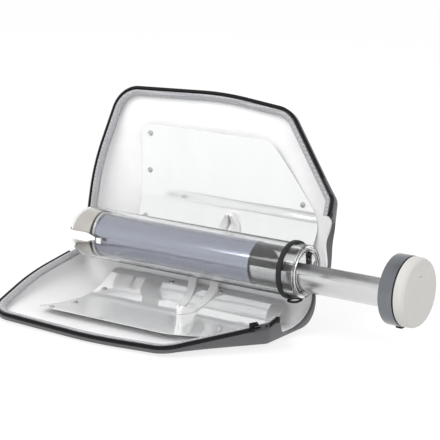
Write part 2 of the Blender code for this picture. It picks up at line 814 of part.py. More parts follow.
def end_strap():
    """The strap from the back of the tube, over its closed end, to a pointed tip in front."""
    outward = Vector((0, -math.cos(STRAP_TURN), -math.sin(STRAP_TURN)))
    across = Vector((0, math.sin(STRAP_TURN), -math.cos(STRAP_TURN)))
    depth = DOME_DEPTH + SEAT_GAP
    radius = TUBE_RADIUS + SEAT_GAP
    route = [(DOME_X + STRAP_BACK_REACH, -radius, 0.0, -1.0)]
    for k in range(STRAP_STEPS + 1):
        sine = math.sin(math.pi * k / STRAP_STEPS)
        cosine = math.cos(math.pi * k / STRAP_STEPS)
        route.append((DOME_X - depth * sine, -radius * cosine, -sine, -cosine))
    route.append((DOME_X + STRAP_REACH - STRAP_TIP_LENGTH, radius, 0.0, 1.0))
    route.append((DOME_X + STRAP_REACH, radius, 0.0, 1.0))
    rings = []
    for k, (x, reach, slope_x, slope_out) in enumerate(route):
        width = STRAP_TIP_WIDTH if k == len(route) - 1 else STRAP_WIDTH
        face = Vector((x, 0, 0)) + outward * reach
        normal = (Vector((1, 0, 0)) * slope_x * radius / depth + outward * slope_out).normalized()
        ring = []
        for edge, lift in ((-0.5, 0), (0, 0), (0.5, 0), (0.5, 1), (0, 1), (-0.5, 1)):
            bow = (0.25 - edge**2) * width**2 / (2 * radius)
            point = face + across * (edge * width)
            point += normal * (lift * STRAP_THICKNESS + bow * abs(slope_out))
            ring.append(point)
        rings.append(ring)
    return loft(rings)


def keeper():
    """The small square that the strap's tip points at."""
    half = KEEPER_SIZE / 2
    radius = TUBE_RADIUS + SEAT_GAP
    turn = STRAP_TURN + KEEPER_TURN
    middle = DOME_X + STRAP_REACH + KEEPER_FROM_TIP
    rings = []
    for x in (middle - half, middle + half):
        ring = []
        for edge, lift in ((-1, 0), (0, 0), (1, 0), (1, 1), (0, 1), (-1, 1)):
            height = SEAT_GAP + lift * KEEPER_THICKNESS
            ring.append(tube_point(x, turn + edge * half / radius, height))
        rings.append(ring)
    return loft(rings)


def elastic_loop():
    """A stretched cord loop under the mouth ring."""
    end = LOOP_LENGTH / 2 - LOOP_CORD
    reach = LOOP_WIDTH / 2 - LOOP_LENGTH / 2
    route = []
    for side in (1, -1):
        for k in range(9):
            turn = math.pi * k / 8 + (0 if side > 0 else math.pi)
            route.append((end * math.cos(turn), side * reach + end * math.sin(turn)))
    height = -(TUBE_RADIUS + SEAT_GAP + MOUTH_RING_RISE + LOOP_CORD + SEAT_GAP)
    count = len(route)
    rings = []
    for i in range(count):
        here = Vector((*route[i], 0))
        run = (Vector((*route[(i + 1) % count], 0)) - Vector((*route[i - 1], 0))).normalized()
        side = Vector((run.y, -run.x, 0))
        ring = []
        for k in range(8):
            turn = 2 * math.pi * k / 8
            offset = side * math.cos(turn) + Vector((0, 0, 1)) * math.sin(turn)
            ring.append(here + offset * LOOP_CORD + Vector((LOOP_X, 0, height)))
        rings.append(ring)
    return loft(rings, ends=False)


def tray_radius():
    """The tray's outer radius, a sliding fit in the inner glass."""
    return ABSORBER_RADIUS - INNER_GLASS - TRAY_CLEARANCE


def seal_face_x():
    """Where the cap's seal meets the tube's mouth with the tray home."""
    return MOUTH_X + SEAT_GAP


def trough():
    """The half-round tray with its edges hemmed inwards."""
    outer = tray_radius()
    inner = outer - TRAY_WALL
    end_x = seal_face_x() - SEAT_GAP
    start_x = end_x - TRAY_LENGTH
    outside = arc((0, 0), outer, math.pi - TRAY_RISE, 2 * math.pi + TRAY_RISE, TRAY_STEPS)
    inside = arc((0, 0), inner, 2 * math.pi + TRAY_RISE, math.pi - TRAY_RISE, TRAY_STEPS)
    rise = math.sin(TRAY_RISE) * inner
    reach = math.cos(TRAY_RISE) * inner - TRAY_LIP
    hem = [(reach, rise + TRAY_WALL), (reach, rise)]
    hem_left = [(-reach, rise), (-reach, rise + TRAY_WALL)]
    edge_y = math.cos(TRAY_RISE) * outer
    outline = outside[:-1] + [(edge_y, rise + TRAY_WALL)] + hem + inside + hem_left
    outline += [(-edge_y, rise + TRAY_WALL)]
    return plate(outline[1:], start_x, TRAY_LENGTH)


def half_disc(radius, rise):
    """A half-round outline with its flat top at a height."""
    lift = math.asin(rise / radius)
    return arc((0, 0), radius, math.pi - lift, 2 * math.pi + lift, 16)


def cap_parts(materials, frame):
    """The cap, its seal and plug, which close the mouth and carry the tray."""
    seal_x = seal_face_x()
    ring_x = MOUTH_X - CAP_SKIRT
    ring_end = ring_x + CAP_RING_LENGTH
    ring_inner = CAP_RADIUS - CAP_RING_WALL
    ring = ring_profile(ring_x, ring_end, ring_inner, CAP_RADIUS, CAP_RING_CORNER)
    add_piece("cap_ring", turned(ring, CAP_STEPS), materials["steel"], frame)

    gasket_x = ring_end + SEAT_GAP
    gasket = [
        (gasket_x, ring_inner),
        (gasket_x, CAP_RADIUS - GASKET_INSET),
        (gasket_x + CAP_GASKET, CAP_RADIUS - GASKET_INSET),
        (gasket_x + CAP_GASKET, ring_inner),
    ]
    add_piece("cap_gasket", turned(gasket, CAP_STEPS), materials["rubber"], frame)

    body_radius = ring_inner - SEAT_GAP
    hollow = body_radius - CAP_DISC_WALL
    body_start = seal_x + CAP_BODY_SETBACK
    shoulder = gasket_x + CAP_GASKET + SEAT_GAP
    face_x = shoulder + CAP_DISC_PROUD
    rim = CAP_RADIUS - CAP_DISC_INSET
    body = [(face_x + CAP_DISC_CROWN, 0), (face_x + CAP_DISC_CROWN / 2, rim * 0.6)]
    for k in range(CAP_BEVEL_STEPS + 1):
        turn = math.pi / 2 * k / CAP_BEVEL_STEPS
        x = face_x - CAP_BEVEL_DEPTH * (1 - math.cos(turn))
        body.append((x, rim - CAP_BEVEL_WIDTH * (1 - math.sin(turn))))
    body += [
        (shoulder, rim),
        (shoulder, body_radius),
        (body_start, body_radius),
        (body_start, hollow),
        (face_x - CAP_DISC_WALL, hollow),
        (face_x - CAP_DISC_WALL, 0),
    ]
    lid = add_piece("cap_body", turned(body, CAP_STEPS, closed=False), materials["cream"], frame)
    hole = arc(VENT_PLACE, VENT_RADIUS, 0, 2 * math.pi, 12)[:-1]
    vent_depth = CAP_DISC_WALL + CAP_DISC_CROWN + 2 * CUT_PAST
    drill = plate(hole, face_x - CAP_DISC_WALL - CUT_PAST, vent_depth)
    cut(lid, add_piece("vent_cutter", drill, materials["cream"], frame))

    seal_end = seal_x + SEAL_THICKNESS
    seal_radius = TUBE_RADIUS + SEAL_OVERHANG
    seal_profile = [(seal_x, 0), (seal_x, seal_radius), (seal_end, seal_radius), (seal_end, 0)]
    seal = add_piece("mouth_seal", turned(seal_profile, 32, closed=False), materials["rubber"], frame)
    plug_radius = tray_radius() - TRAY_WALL - SEAT_GAP
    plug_end = seal_x - SEAT_GAP
    plug_start = plug_end - PLUG_LENGTH
    plug_profile = [
        (plug_start, 0),
        (plug_start, plug_radius - PLUG_CHAMFER),
        (plug_start + PLUG_CHAMFER, plug_radius),
        (plug_end, plug_radius),
        (plug_end, 0),
    ]
    plug = add_piece("cap_plug", turned(plug_profile, 28, closed=False), materials["plug"], frame)
    trim = trough_hem_cutter(plug_start - CUT_PAST, PLUG_LENGTH + 2 * CUT_PAST)
    cut(plug, add_piece("hem_cutter", trim, materials["plug"], frame))

    head_x = seal_end + SEAT_GAP
    for number, side in enumerate((-1, 1), start=1):
        screw = [
            (head_x - SCREW_LENGTH, 0),
            (head_x - SCREW_LENGTH, SCREW_SHANK),
            (head_x, SCREW_SHANK),
            (head_x, SCREW_HEAD),
            (head_x + SCREW_HEAD_RISE * 0.75, SCREW_HEAD * 0.8),
            (head_x + SCREW_HEAD_RISE, 0),
        ]
        bm = turned(screw, 10, closed=False)
        bmesh.ops.translate(bm, vec=(0, side * SCREW_SPREAD, 0), verts=bm.verts)
        add_piece("cap_screw_" + str(number), bm, materials["bright"], frame)
        radius = SCREW_SHANK + SEAT_GAP
        round_hole = arc((side * SCREW_SPREAD, 0), radius, 0, 2 * math.pi, 12)[:-1]
        depth = SCREW_LENGTH + SCREW_HOLE_END
        drill = plate(round_hole, head_x - depth, depth + CUT_PAST)
        cutter = add_piece("screw_cutter_" + str(number), drill, materials["plug"], frame)
        cut(seal, cutter)
        cut(plug, cutter)

    width, length, thickness = TAB_SIZE
    top = -CAP_RADIUS - SEAT_GAP
    tab_x = ring_x + TAB_SETBACK
    tab = block((tab_x, -width / 2, top - thickness), (tab_x + length, width / 2, top))
    bmesh.ops.bevel(tab, geom=tab.edges[:], offset=TAB_CORNER, segments=2, affect="EDGES")
    add_piece("cap_tab", tab, materials["rubber"], frame)


def trough_hem_cutter(start_x, length):
    """Room in the plug for the tray's hemmed edges."""
    rise = math.sin(TRAY_RISE) * (tray_radius() - TRAY_WALL)
    reach = math.cos(TRAY_RISE) * (tray_radius() - TRAY_WALL) - TRAY_LIP - SEAT_GAP
    low_z, high_z = rise - SEAT_GAP, rise + TRAY_WALL + SEAT_GAP
    bm = bmesh.new()
    for side in (-1, 1):
        low_y, high_y = sorted((side * reach, side * TUBE_RADIUS))
        part = block((start_x, low_y, low_z), (start_x + length, high_y, high_z))
        mesh = bpy.data.meshes.new("hem")
        part.to_mesh(mesh)
        part.free()
        bm.from_mesh(mesh)
        bpy.data.meshes.remove(mesh)
    return bm


def case_half(half, side, frame, materials):
    """One half of the case: shell, liner, reflector, fin, rivets, binding and half a zipper."""
    notch = notch_cutter(half, NOTCH_RADIUS, side, frame, materials["fabric"])
    wide_notch = notch_cutter(half, NOTCH_RADIUS + LINER_NOTCH_MARGIN, side, frame, materials["fabric"])
    shell_mesh = on_half(bowl(0.0, SHELL_WALL), side)
    shell = add_piece(half + "_shell", shell_mesh, materials["fabric"], frame)
    cut(shell, notch)
    start = SHELL_WALL + SEAT_GAP
    liner_mesh = on_half(bowl(start, start + LINER_WALL), side)
    liner = add_piece(half + "_liner", liner_mesh, materials["white"], frame)
    cut(liner, wide_notch)

    sheet_mesh = on_half(reflector_sheet(), side)
    sheet = add_piece(half + "_reflector", sheet_mesh, materials["mirror"], frame)
    holes = on_half(rivet_holes(), side)
    cut(sheet, add_piece(half + "_rivet_cutter", holes, materials["bright"], frame))
    for number, (u, v) in enumerate(RIVETS, start=1):
        name = half + "_rivet_" + str(number)
        add_piece(name, on_half(rivet(u, v), side), materials["bright"], frame)

    fin = on_half(plate(fin_outline(), FIN_PLACE, FIN_THICKNESS), side)
    fin_piece = add_piece(half + "_fin", fin, materials["white"], frame)
    window = plate(fin_window(), FIN_PLACE - CUT_PAST, FIN_THICKNESS + 2 * CUT_PAST)
    cutter = add_piece(half + "_fin_cutter", on_half(window, side), materials["white"], frame)
    cut(fin_piece, cutter)

    bound = on_half(rim_strip(binding_path(), binding_section()), side)
    add_piece(half + "_binding", bound, materials["binding"], frame)
    zipper = on_half(rim_strip(rim_path(ZIPPER_SPINE_GAP, ZIPPER_NOTCH_GAP), zipper_section()), side)
    add_piece(half + "_zipper", zipper, materials["black"], frame)
    add_piece(half + "_chain_stop", on_half(chain_stop(), side), materials["black"], frame)


def spine_tape(frame, material):
    """The fabric tape along the outside of the spine, with a bead on the fold line."""
    start = CASE_OUTLINE[0][0] + SPINE_TAPE_START
    end = CASE_OUTLINE[-1][0] - SPINE_TAPE_END
    back = -SPINE_TAPE_OFFSET
    front = back + SPINE_TAPE_THICKNESS
    bead = SPINE_BEAD
    outline = [(back, -SPINE_TAPE_HEIGHT), (back, -SPINE_BEAD_START), (-bead, -bead)]
    outline += [(bead * 0.4, bead * 0.6), (bead, -bead * 0.3), (bead * 0.4, -bead * 1.2)]
    outline += [(front, -SPINE_BEAD_START), (front, -SPINE_TAPE_HEIGHT)]
    rings = [[Vector((x, -v, w)) for v, w in outline] for x in (start, end)]
    add_piece("spine_tape", loft(rings), material, frame)


def zipper_fittings(lower, materials):
    """The slider on the lower chain, and the pull that swings on it."""
    start, away = chain_end()
    turn = math.atan2(away.y, -away.x)
    slider_frame = frame_empty("slider_frame", lower, (start.x, -start.y, 0))
    slider_frame.rotation_euler.z = turn
    body, extras = zipper_slider()
    base = add_piece("zipper_slider", body, materials["black"], slider_frame, smooth=False)
    for number, extra in enumerate(extras):
        name = "slider_join_" + str(number)
        part = add_piece(name, extra, materials["black"], slider_frame, smooth=False)
        part.hide_render = True
        part.display_type = "WIRE"
        union = base.modifiers.new("join_" + str(number), "BOOLEAN")
        union.operation = "UNION"
        union.solver = "EXACT"
        union.object = part

    outside = slider_faces()[1] - SLIDER_PLATE
    pull_frame = frame_empty("pull_frame", slider_frame, (0, outside - ARCH_REACH / 2, 0))
    frame_mesh, hole, grip = zipper_pull()
    metal = materials["bright"]
    pull = add_piece("zipper_pull", frame_mesh, metal, pull_frame, smooth=False)
    cut(pull, add_piece("pull_window_cutter", hole, metal, pull_frame, smooth=False))
    cut(pull, add_piece("pull_grip_cutter", grip, metal, pull_frame, smooth=False))


def vacuum_tube(root, materials):
    """The glasses, their films and fittings, on an arm whose origin is the fold line."""
    rise = TUBE_LIFT - WEDGE_ANGLE
    arm = frame_empty("tube_arm", root)
    place = (0, -TUBE_FROM_SPINE * math.cos(rise), TUBE_FROM_SPINE * math.sin(rise))
    tube = frame_empty("tube_frame", arm, place)
    add_piece("outer_glass", glass_outer(), materials["glass"], tube)
    add_piece("inner_glass", glass_inner(), materials["glass"], tube)
    coat_depth = INNER_DOME_DEPTH + SEAT_GAP
    coat_end = MOUTH_X - COATING_FROM_MOUTH
    coating = film(INNER_DOME_X, coat_depth, ABSORBER_RADIUS + SEAT_GAP, coat_end)
    add_piece("absorber_coating", coating, materials["absorber"], tube)
    room = TUBE_RADIUS - OUTER_GLASS - SEAT_GAP - COATING
    depth = DOME_DEPTH - OUTER_GLASS - SEAT_GAP - COATING
    getter = film(DOME_X, depth, room, DOME_X + FILM_LENGTH)
    add_piece("getter_film", getter, materials["film"], tube)
    add_piece("support_spring", support_spring(), materials["bright"], tube)

    base = TUBE_RADIUS + SEAT_GAP
    half = MOUTH_RING_WIDTH / 2
    ring = ring_profile(-half, half, base, base + MOUTH_RING_RISE, MOUTH_RING_CORNER)
    add_piece("mouth_ring", turned(ring, GLASS_STEPS), materials["rubber"], tube)
    add_piece("end_strap", end_strap(), materials["strap"], tube)
    add_piece("strap_keeper", keeper(), materials["white"], tube)
    add_piece("elastic_loop", elastic_loop(), materials["rubber"], tube)
    for name, saddle_place in zip(("left_saddle", "right_saddle"), SADDLE_PLACES):
        add_piece(name, saddle(saddle_place), materials["rubber"], tube)
    return tube


def set_origin(root):
    """Puts the whole object's bottom centre on the origin."""
    bpy.context.view_layer.update()
    graph = bpy.context.evaluated_depsgraph_get()
    points = []
    for item in bpy.data.objects:
        if item.type != "MESH" or item.hide_render:
            continue
        shape = item.evaluated_get(graph)
        points.extend(shape.matrix_world @ vert.co for vert in shape.to_mesh().vertices)
        shape.to_mesh_clear()
    low = Vector([min(point[axis] for point in points) for axis in range(3)])
    high = Vector([max(point[axis] for point in points) for axis in range(3)])
    root.location = (-(low.x + high.x) / 2, -(low.y + high.y) / 2, -low.z)


def main():
    clear_scene()
    materials = {
        "fabric": finish("case_fabric", (0.10, 0.10, 0.11), 0.85),
        "binding": finish("binding_mesh", (0.22, 0.22, 0.24), 0.8),
        "black": finish("zipper_black", (0.02, 0.02, 0.02), 0.45),
        "white": finish("liner_white", (0.86, 0.86, 0.87), 0.45),
        "mirror": finish("reflector_silver", (0.9, 0.9, 0.91), 0.08, 1.0),
        "bright": finish("bright_steel", (0.75, 0.75, 0.76), 0.25, 1.0),
        "glass": finish("clear_glass", (0.85, 0.9, 0.92), 0.03, 0.0, 0.3),
        "absorber": finish("absorber_coating", (0.16, 0.19, 0.26), 0.22, 0.8),
        "film": finish("getter_film", (0.80, 0.77, 0.71), 0.12, 1.0),
        "rubber": finish("black_silicone", (0.03, 0.03, 0.03), 0.6),
        "strap": finish("cream_strap", (0.80, 0.78, 0.72), 0.6),
        "steel": finish("cap_steel", (0.32, 0.35, 0.38), 0.3, 1.0),
        "cream": finish("cap_cream", (0.63, 0.61, 0.57), 0.5),
        "plug": finish("plug_grey", (0.45, 0.45, 0.45), 0.8),
        "tray": finish("tray_steel", (0.72, 0.72, 0.72), 0.22, 1.0),
    }
    root = frame_empty("oven", None)
    lower = frame_empty("lower_frame", root, turn_x=WEDGE_ANGLE)
    upper = frame_empty("upper_frame", root, turn_x=WEDGE_ANGLE - LID_OPENING + math.pi)
    case_half("lower", -1, lower, materials)
    case_half("upper", 1, upper, materials)
    spine_tape(lower, materials["black"])
    zipper_fittings(lower, materials)
    tube = vacuum_tube(root, materials)
    tray = frame_empty("tray_frame", tube, (TRAY_OUT, 0, 0))
    add_piece("cooking_tray", trough(), materials["tray"], tray)
    end_x = seal_face_x() - SEAT_GAP - TRAY_LENGTH
    disc = half_disc(tray_radius() - TRAY_WALL - SEAT_GAP, END_PLATE_RISE)
    end_plate = plate(disc, end_x + END_PLATE, END_PLATE)
    add_piece("tray_end_plate", end_plate, materials["tray"], tray)
    cap_parts(materials, tray)
    set_origin(root)


main()
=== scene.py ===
"""Folding solar oven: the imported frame, dressed as its maker would finish it.

A point of a case half is written (u, v, w): u along the fold, v out from it in the plane of the rim,
and w out of that plane, so each dish lies at negative w. A point of the tube is written in its own
frame, whose +X runs along the axis towards the mouth and whose X = 0 is the silicone ring.
"""

from __future__ import annotations

import sys

import logging
import math
from collections.abc import Sequence
from dataclasses import dataclass, field
from enum import Enum
from functools import partial

import bmesh
import bpy
from mathutils import Matrix, Vector


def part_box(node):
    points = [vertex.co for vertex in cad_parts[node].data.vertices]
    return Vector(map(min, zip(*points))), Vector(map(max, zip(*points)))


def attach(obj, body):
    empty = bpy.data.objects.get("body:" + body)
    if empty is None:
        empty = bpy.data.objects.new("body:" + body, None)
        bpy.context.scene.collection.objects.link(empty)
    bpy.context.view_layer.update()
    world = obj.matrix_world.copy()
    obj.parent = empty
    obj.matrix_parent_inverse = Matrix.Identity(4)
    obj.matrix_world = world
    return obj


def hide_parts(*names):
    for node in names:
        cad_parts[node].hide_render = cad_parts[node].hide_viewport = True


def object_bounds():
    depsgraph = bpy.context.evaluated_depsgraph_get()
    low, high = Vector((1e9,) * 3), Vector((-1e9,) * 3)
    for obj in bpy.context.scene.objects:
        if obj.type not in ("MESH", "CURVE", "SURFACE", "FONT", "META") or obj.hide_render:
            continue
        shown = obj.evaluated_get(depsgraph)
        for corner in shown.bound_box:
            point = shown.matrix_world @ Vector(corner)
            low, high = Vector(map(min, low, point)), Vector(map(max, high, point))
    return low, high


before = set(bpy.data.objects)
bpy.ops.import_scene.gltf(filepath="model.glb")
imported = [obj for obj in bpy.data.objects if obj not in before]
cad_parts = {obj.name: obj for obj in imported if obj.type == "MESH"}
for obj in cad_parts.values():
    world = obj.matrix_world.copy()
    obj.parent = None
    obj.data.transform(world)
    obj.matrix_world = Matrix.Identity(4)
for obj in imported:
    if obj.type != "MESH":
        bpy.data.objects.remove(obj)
CAD_BOX = [list(corner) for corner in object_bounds()]

LOG = logging.getLogger("solar_oven")
SAME_POINT = 1e-7
SHARP_EDGE = 40.0
SOFT_EDGE = 60.0
WAVE_RATE = 20.0
TINT_ENDS = (0.2, 0.8)
Colour = tuple[float, float, float]
Size = tuple[float, float, float]
Corners = Sequence[tuple[float, float, float]]
Outline = list[Vector]
RimPath = list[tuple[Vector, Vector]]
Section = list[tuple[float, float]]
BMesh = bmesh.types.BMesh
Piece = bpy.types.Object
Socket = bpy.types.NodeSocket


def show(name: str, data: bpy.types.ID) -> Piece:
    """Puts data into the scene as an object.

    Args:
        name: the object's name.
        data: a mesh, a light or a camera.

    Returns:
        The object.
    """
    made = bpy.data.objects.new(name, data)
    bpy.context.collection.objects.link(made)
    return made


def stand_up(name: str, bm: BMesh) -> Piece:
    """Turns a bmesh into an object of the scene.

    Args:
        name: the object's name.
        bm: its mesh, which is used up.

    Returns:
        The object.
    """
    mesh = bpy.data.meshes.new(name)
    bm.to_mesh(mesh)
    bm.free()
    return show(name, mesh)


class Body(Enum):
    """The moving bodies that new pieces ride."""

    LOWER = "lower_case"
    UPPER = "upper_case"
    TUBE = "tube"
    TRAY = "tray"


class Half(Enum):
    """One half of the case, by the prefix of its nodes."""

    LOWER = "lower"
    UPPER = "upper"

    @property
    def body(self) -> Body:
        """The body that this half moves with."""
        return Body.LOWER if self is Half.LOWER else Body.UPPER


class Grain(Enum):
    """The direction in which a metal is brushed, by the stretch of its noise along X, Y and Z."""

    ROUND_AXIS = (2600.0, 12.0, 12.0)
    ALONG_AXIS = (8.0, 1500.0, 1500.0)
    FACING = (900.0, 900.0, 900.0)


@dataclass
class NodeBoard:
    """A node tree under construction, with short ways to add and join nodes."""

    tree: bpy.types.NodeTree

    def node(self, kind: str, **values: object) -> bpy.types.Node:
        """Adds a node.

        Args:
            kind: the node's type name, without its ShaderNode prefix.
            **values: its properties, and its inputs by name with underscores for spaces.

        Returns:
            The new node.
        """
        made = self.tree.nodes.new("ShaderNode" + kind)
        for name, value in values.items():
            label = name.replace("_", " ")
            if label in made.inputs:
                made.inputs[label].default_value = value
            else:
                setattr(made, name, value)
        return made

    def link(self, source: Socket, target: Socket) -> None:
        """Joins two sockets."""
        self.tree.links.new(source, target)

    def combine(self, operation: str, first: Socket, second: Socket | float) -> Socket:
        """Joins two values with a Math node.

        Args:
            operation: the Math node's operation.
            first: the first value.
            second: the other value, or a plain number.

        Returns:
            The result.
        """
        made = self.node("Math", operation=operation)
        self.link(first, made.inputs[0])
        if isinstance(second, float):
            made.inputs[1].default_value = second
        else:
            self.link(second, made.inputs[1])
        return made.outputs["Value"]

    def spread(self, value: Socket, low: float, high: float) -> Socket:
        """Maps a value onto another range.

        Args:
            value: 0 to 1.
            low: what 0 becomes.
            high: what 1 becomes.

        Returns:
            The mapped value.
        """
        made = self.node("MapRange", To_Min=low, To_Max=high)
        self.link(value, made.inputs["Value"])
        return made.outputs["Result"]

    def seen(self) -> Socket:
        """Tells the rays that show the background from those that light the object.

        Returns:
            1 for camera, glossy and transmission rays, 0 for others.
        """
        rays = self.node("LightPath").outputs
        either = self.combine("MAXIMUM", rays["Is Camera Ray"], rays["Is Glossy Ray"])
        return self.combine("MAXIMUM", either, rays["Is Transmission Ray"])


@dataclass
class Shader(NodeBoard):
    """A Principled material under construction, with short ways to add procedural detail."""

    material: bpy.types.Material
    base: Colour

    @classmethod
    def start(cls, name: str, base: Colour, roughness: float, metallic: float = 0.0) -> Shader:
        """Makes a material and sets its plain values.

        Args:
            name: the material's name.
            base: its base colour.
            roughness: its roughness.
            metallic: 0 for a plain surface, 1 for metal.

        Returns:
            The material's shader.
        """
        material = bpy.data.materials.new(name)
        material.use_nodes = True
        shader = cls(material.node_tree, material, base)
        shader.set("Base Color", (*base, 1.0))
        shader.set("Roughness", roughness)
        shader.set("Metallic", metallic)
        return shader

    @property
    def sockets(self) -> bpy.types.NodeInputs:
        """The Principled node's sockets."""
        return self.tree.nodes["Principled BSDF"].inputs

    def set(self, socket: str, value: float | tuple[float, ...]) -> None:
        """Sets an unlinked socket of the Principled node."""
        self.sockets[socket].default_value = value

    def texture(
        self, kind: str, stretch: Sequence[float] = (1.0, 1.0, 1.0), **values: object
    ) -> bpy.types.Node:
        """Adds a texture in the object's own coordinates.

        Args:
            kind: the node's type name, without its ShaderNode prefix.
            stretch: how much finer the texture is along each axis.
            **values: the node's properties and inputs.

        Returns:
            The texture node.
        """
        made = self.node(kind, **values)
        mapping = self.node("Mapping", Scale=stretch)
        self.link(self.node("TexCoord").outputs["Object"], mapping.inputs["Vector"])
        self.link(mapping.outputs["Vector"], made.inputs["Vector"])
        return made

    def noise(self, *stretch: float, detail: float = 3.0) -> Socket:
        """Smooth noise, by its cycles per metre: one number, or one for each axis."""
        cycles = stretch if len(stretch) == 3 else stretch * 3
        return self.texture("TexNoise", cycles, Scale=1.0, Detail=detail, Roughness=0.55).outputs["Fac"]

    def ribs(self, axis: str, pitch: float, bend: float) -> Socket:
        """Adds parallel ribs.

        Args:
            axis: the axis that they run across.
            pitch: the distance from one rib to the next, in metres.
            bend: how much they waver.

        Returns:
            0 to 1 across each rib.
        """
        scale = math.tau / pitch / WAVE_RATE
        values = {"Scale": scale, "Distortion": bend, "Detail": 1.0, "bands_direction": axis}
        return self.texture("TexWave", **values).outputs["Fac"]

    def tint(self, value: Socket, dark: float, light: float) -> None:
        """Colours the base by a value.

        Args:
            value: 0 to 1 over the surface.
            dark: the base colour's factor at the lower tint end.
            light: the base colour's factor at the upper one.
        """
        ramp = self.node("ValToRGB")
        for end, place, factor in zip(ramp.color_ramp.elements, TINT_ENDS, (dark, light)):
            end.position = place
            end.color = (*(min(1.0, part * factor) for part in self.base), 1.0)
        self.link(value, ramp.inputs["Fac"])
        self.link(ramp.outputs["Color"], self.sockets["Base Color"])

    def rough(self, value: Socket, low: float, high: float) -> None:
        """Varies the roughness with a value."""
        self.link(self.spread(value, low, high), self.sockets["Roughness"])

    def bump(self, height: Socket, distance: float) -> None:
        """Raises the surface.

        Args:
            height: 0 to 1 over the surface.
            distance: how many metres 1 stands for.
        """
        made = self.node("Bump", Distance=distance, Strength=1.0)
        self.link(height, made.inputs["Height"])
        self.link(made.outputs["Normal"], self.sockets["Normal"])


@dataclass(frozen=True)
class WovenFinish:
    """Cloth: two sets of ribs that cross, and slow wear in colour and gloss."""

    slot: str
    base: Colour
    pitch: float
    depth: float
    roughness: float = 0.85

    def make(self) -> bpy.types.Material:
        """Makes the material.

        Returns:
            The finished material.
        """
        shader = Shader.start(self.slot + "_cloth", self.base, self.roughness)
        shader.set("Sheen Weight", 0.25)
        shader.set("Sheen Roughness", 0.5)
        warp, weft = (shader.ribs(axis, self.pitch, 0.6) for axis in ("X", "DIAGONAL"))
        wear = shader.noise(22.0)
        fleck = shader.noise(650.0, detail=4.0)
        shader.tint(shader.combine("MULTIPLY", shader.combine("ADD", fleck, wear), 0.5), 0.72, 1.3)
        shader.rough(wear, self.roughness - 0.08, self.roughness + 0.1)
        shader.bump(shader.combine("MULTIPLY", warp, weft), self.depth)
        return shader.material


@dataclass(frozen=True)
class MeshFinish:
    """Spacer mesh: rows of small cells in a soft knit."""

    slot: str
    base: Colour
    cell: float

    def make(self) -> bpy.types.Material:
        """Makes the material.

        Returns:
            The finished material.
        """
        shader = Shader.start(self.slot + "_knit", self.base, 0.8)
        shader.set("Sheen Weight", 0.3)
        cells = shader.texture("TexVoronoi", Scale=1.0 / self.cell, Randomness=0.35)
        open_cell = shader.spread(cells.outputs["Distance"], 1.0, 0.0)
        shader.tint(open_cell, 1.3, 0.45)
        shader.rough(shader.noise(90.0), 0.7, 0.92)
        shader.bump(open_cell, 0.0004)
        return shader.material


@dataclass(frozen=True)
class PlasticFinish:
    """Moulded plastic: fine orange peel, and a little change in colour and gloss."""

    slot: str
    base: Colour
    roughness: float
    peel: float = 0.00006
    scale: float = 420.0
    shine: float = 0.5

    def make(self) -> bpy.types.Material:
        """Makes the material.

        Returns:
            The finished material.
        """
        shader = Shader.start(self.slot + "_moulded", self.base, self.roughness)
        shader.set("Specular IOR Level", self.shine)
        slow = shader.noise(30.0)
        shader.tint(slow, 0.95, 1.03)
        shader.rough(slow, self.roughness - 0.05, self.roughness + 0.07)
        shader.bump(shader.noise(self.scale), self.peel)
        return shader.material


@dataclass(frozen=True)
class RubberFinish:
    """Silicone and rubber: matte, faintly dusty."""

    slot: str
    base: Colour = (0.018, 0.018, 0.019)

    def make(self) -> bpy.types.Material:
        """Makes the material.

        Returns:
            The finished material.
        """
        shader = Shader.start(self.slot + "_rubber", self.base, 0.55)
        shader.set("Specular IOR Level", 0.25)
        dust = shader.noise(70.0, detail=5.0)
        shader.tint(dust, 0.85, 1.3)
        shader.rough(dust, 0.45, 0.7)
        shader.bump(shader.noise(900.0), 0.00005)
        return shader.material


@dataclass(frozen=True)
class BrushedFinish:
    """Steel with the fine parallel lines of its last wheel."""

    slot: str
    base: Colour
    roughness: float
    grain: Grain
    depth: float = 0.00002

    def make(self) -> bpy.types.Material:
        """Makes the material.

        Returns:
            The finished material.
        """
        shader = Shader.start(self.slot + "_brushed", self.base, self.roughness, 1.0)
        lines = shader.noise(*self.grain.value, detail=2.0)
        both = shader.combine("ADD", lines, shader.noise(25.0))
        shader.tint(shader.combine("MULTIPLY", both, 0.5), 0.86, 1.12)
        shader.rough(lines, self.roughness - 0.07, self.roughness + 0.09)
        shader.bump(lines, self.depth)
        return shader.material


@dataclass(frozen=True)
class MirrorFinish:
    """Polished reflector sheet: nearly flawless, with a slow ripple and a faint haze."""

    slot: str
    base: Colour
    roughness: float
    ripple: float
    metallic: float = 1.0

    def make(self) -> bpy.types.Material:
        """Makes the material.

        Returns:
            The finished material.
        """
        shader = Shader.start(self.slot + "_polished", self.base, self.roughness, self.metallic)
        haze = shader.noise(40.0, 14.0, 14.0, detail=4.0)
        shader.tint(haze, 0.97, 1.02)
        shader.rough(haze, self.roughness * 0.6, self.roughness * 1.5)
        shader.bump(shader.noise(9.0, 16.0, 16.0, detail=1.0), self.ripple)
        return shader.material


@dataclass(frozen=True)
class AbsorberFinish:
    """The sputtered absorbing coat: dark metal with a blue cast, with painted reflections in soft light and
    dark bands along the tube.
    """

    slot: str
    base: Colour
    roughness: float

    def make(self) -> bpy.types.Material:
        """Makes the material.

        Returns:
            The finished material.
        """
        shader = Shader.start(self.slot + "_sputtered", self.base, self.roughness, 0.9)
        # painted reflection: soft light and dark bands along the tube stand in for reflections of the studio,
        # not a real change in the coat
        shader.tint(shader.noise(0.6, 42.0, 42.0, detail=1.0), 0.6, 1.55)
        shader.rough(shader.noise(12.0, 30.0, 30.0), self.roughness - 0.01, self.roughness + 0.02)
        return shader.material


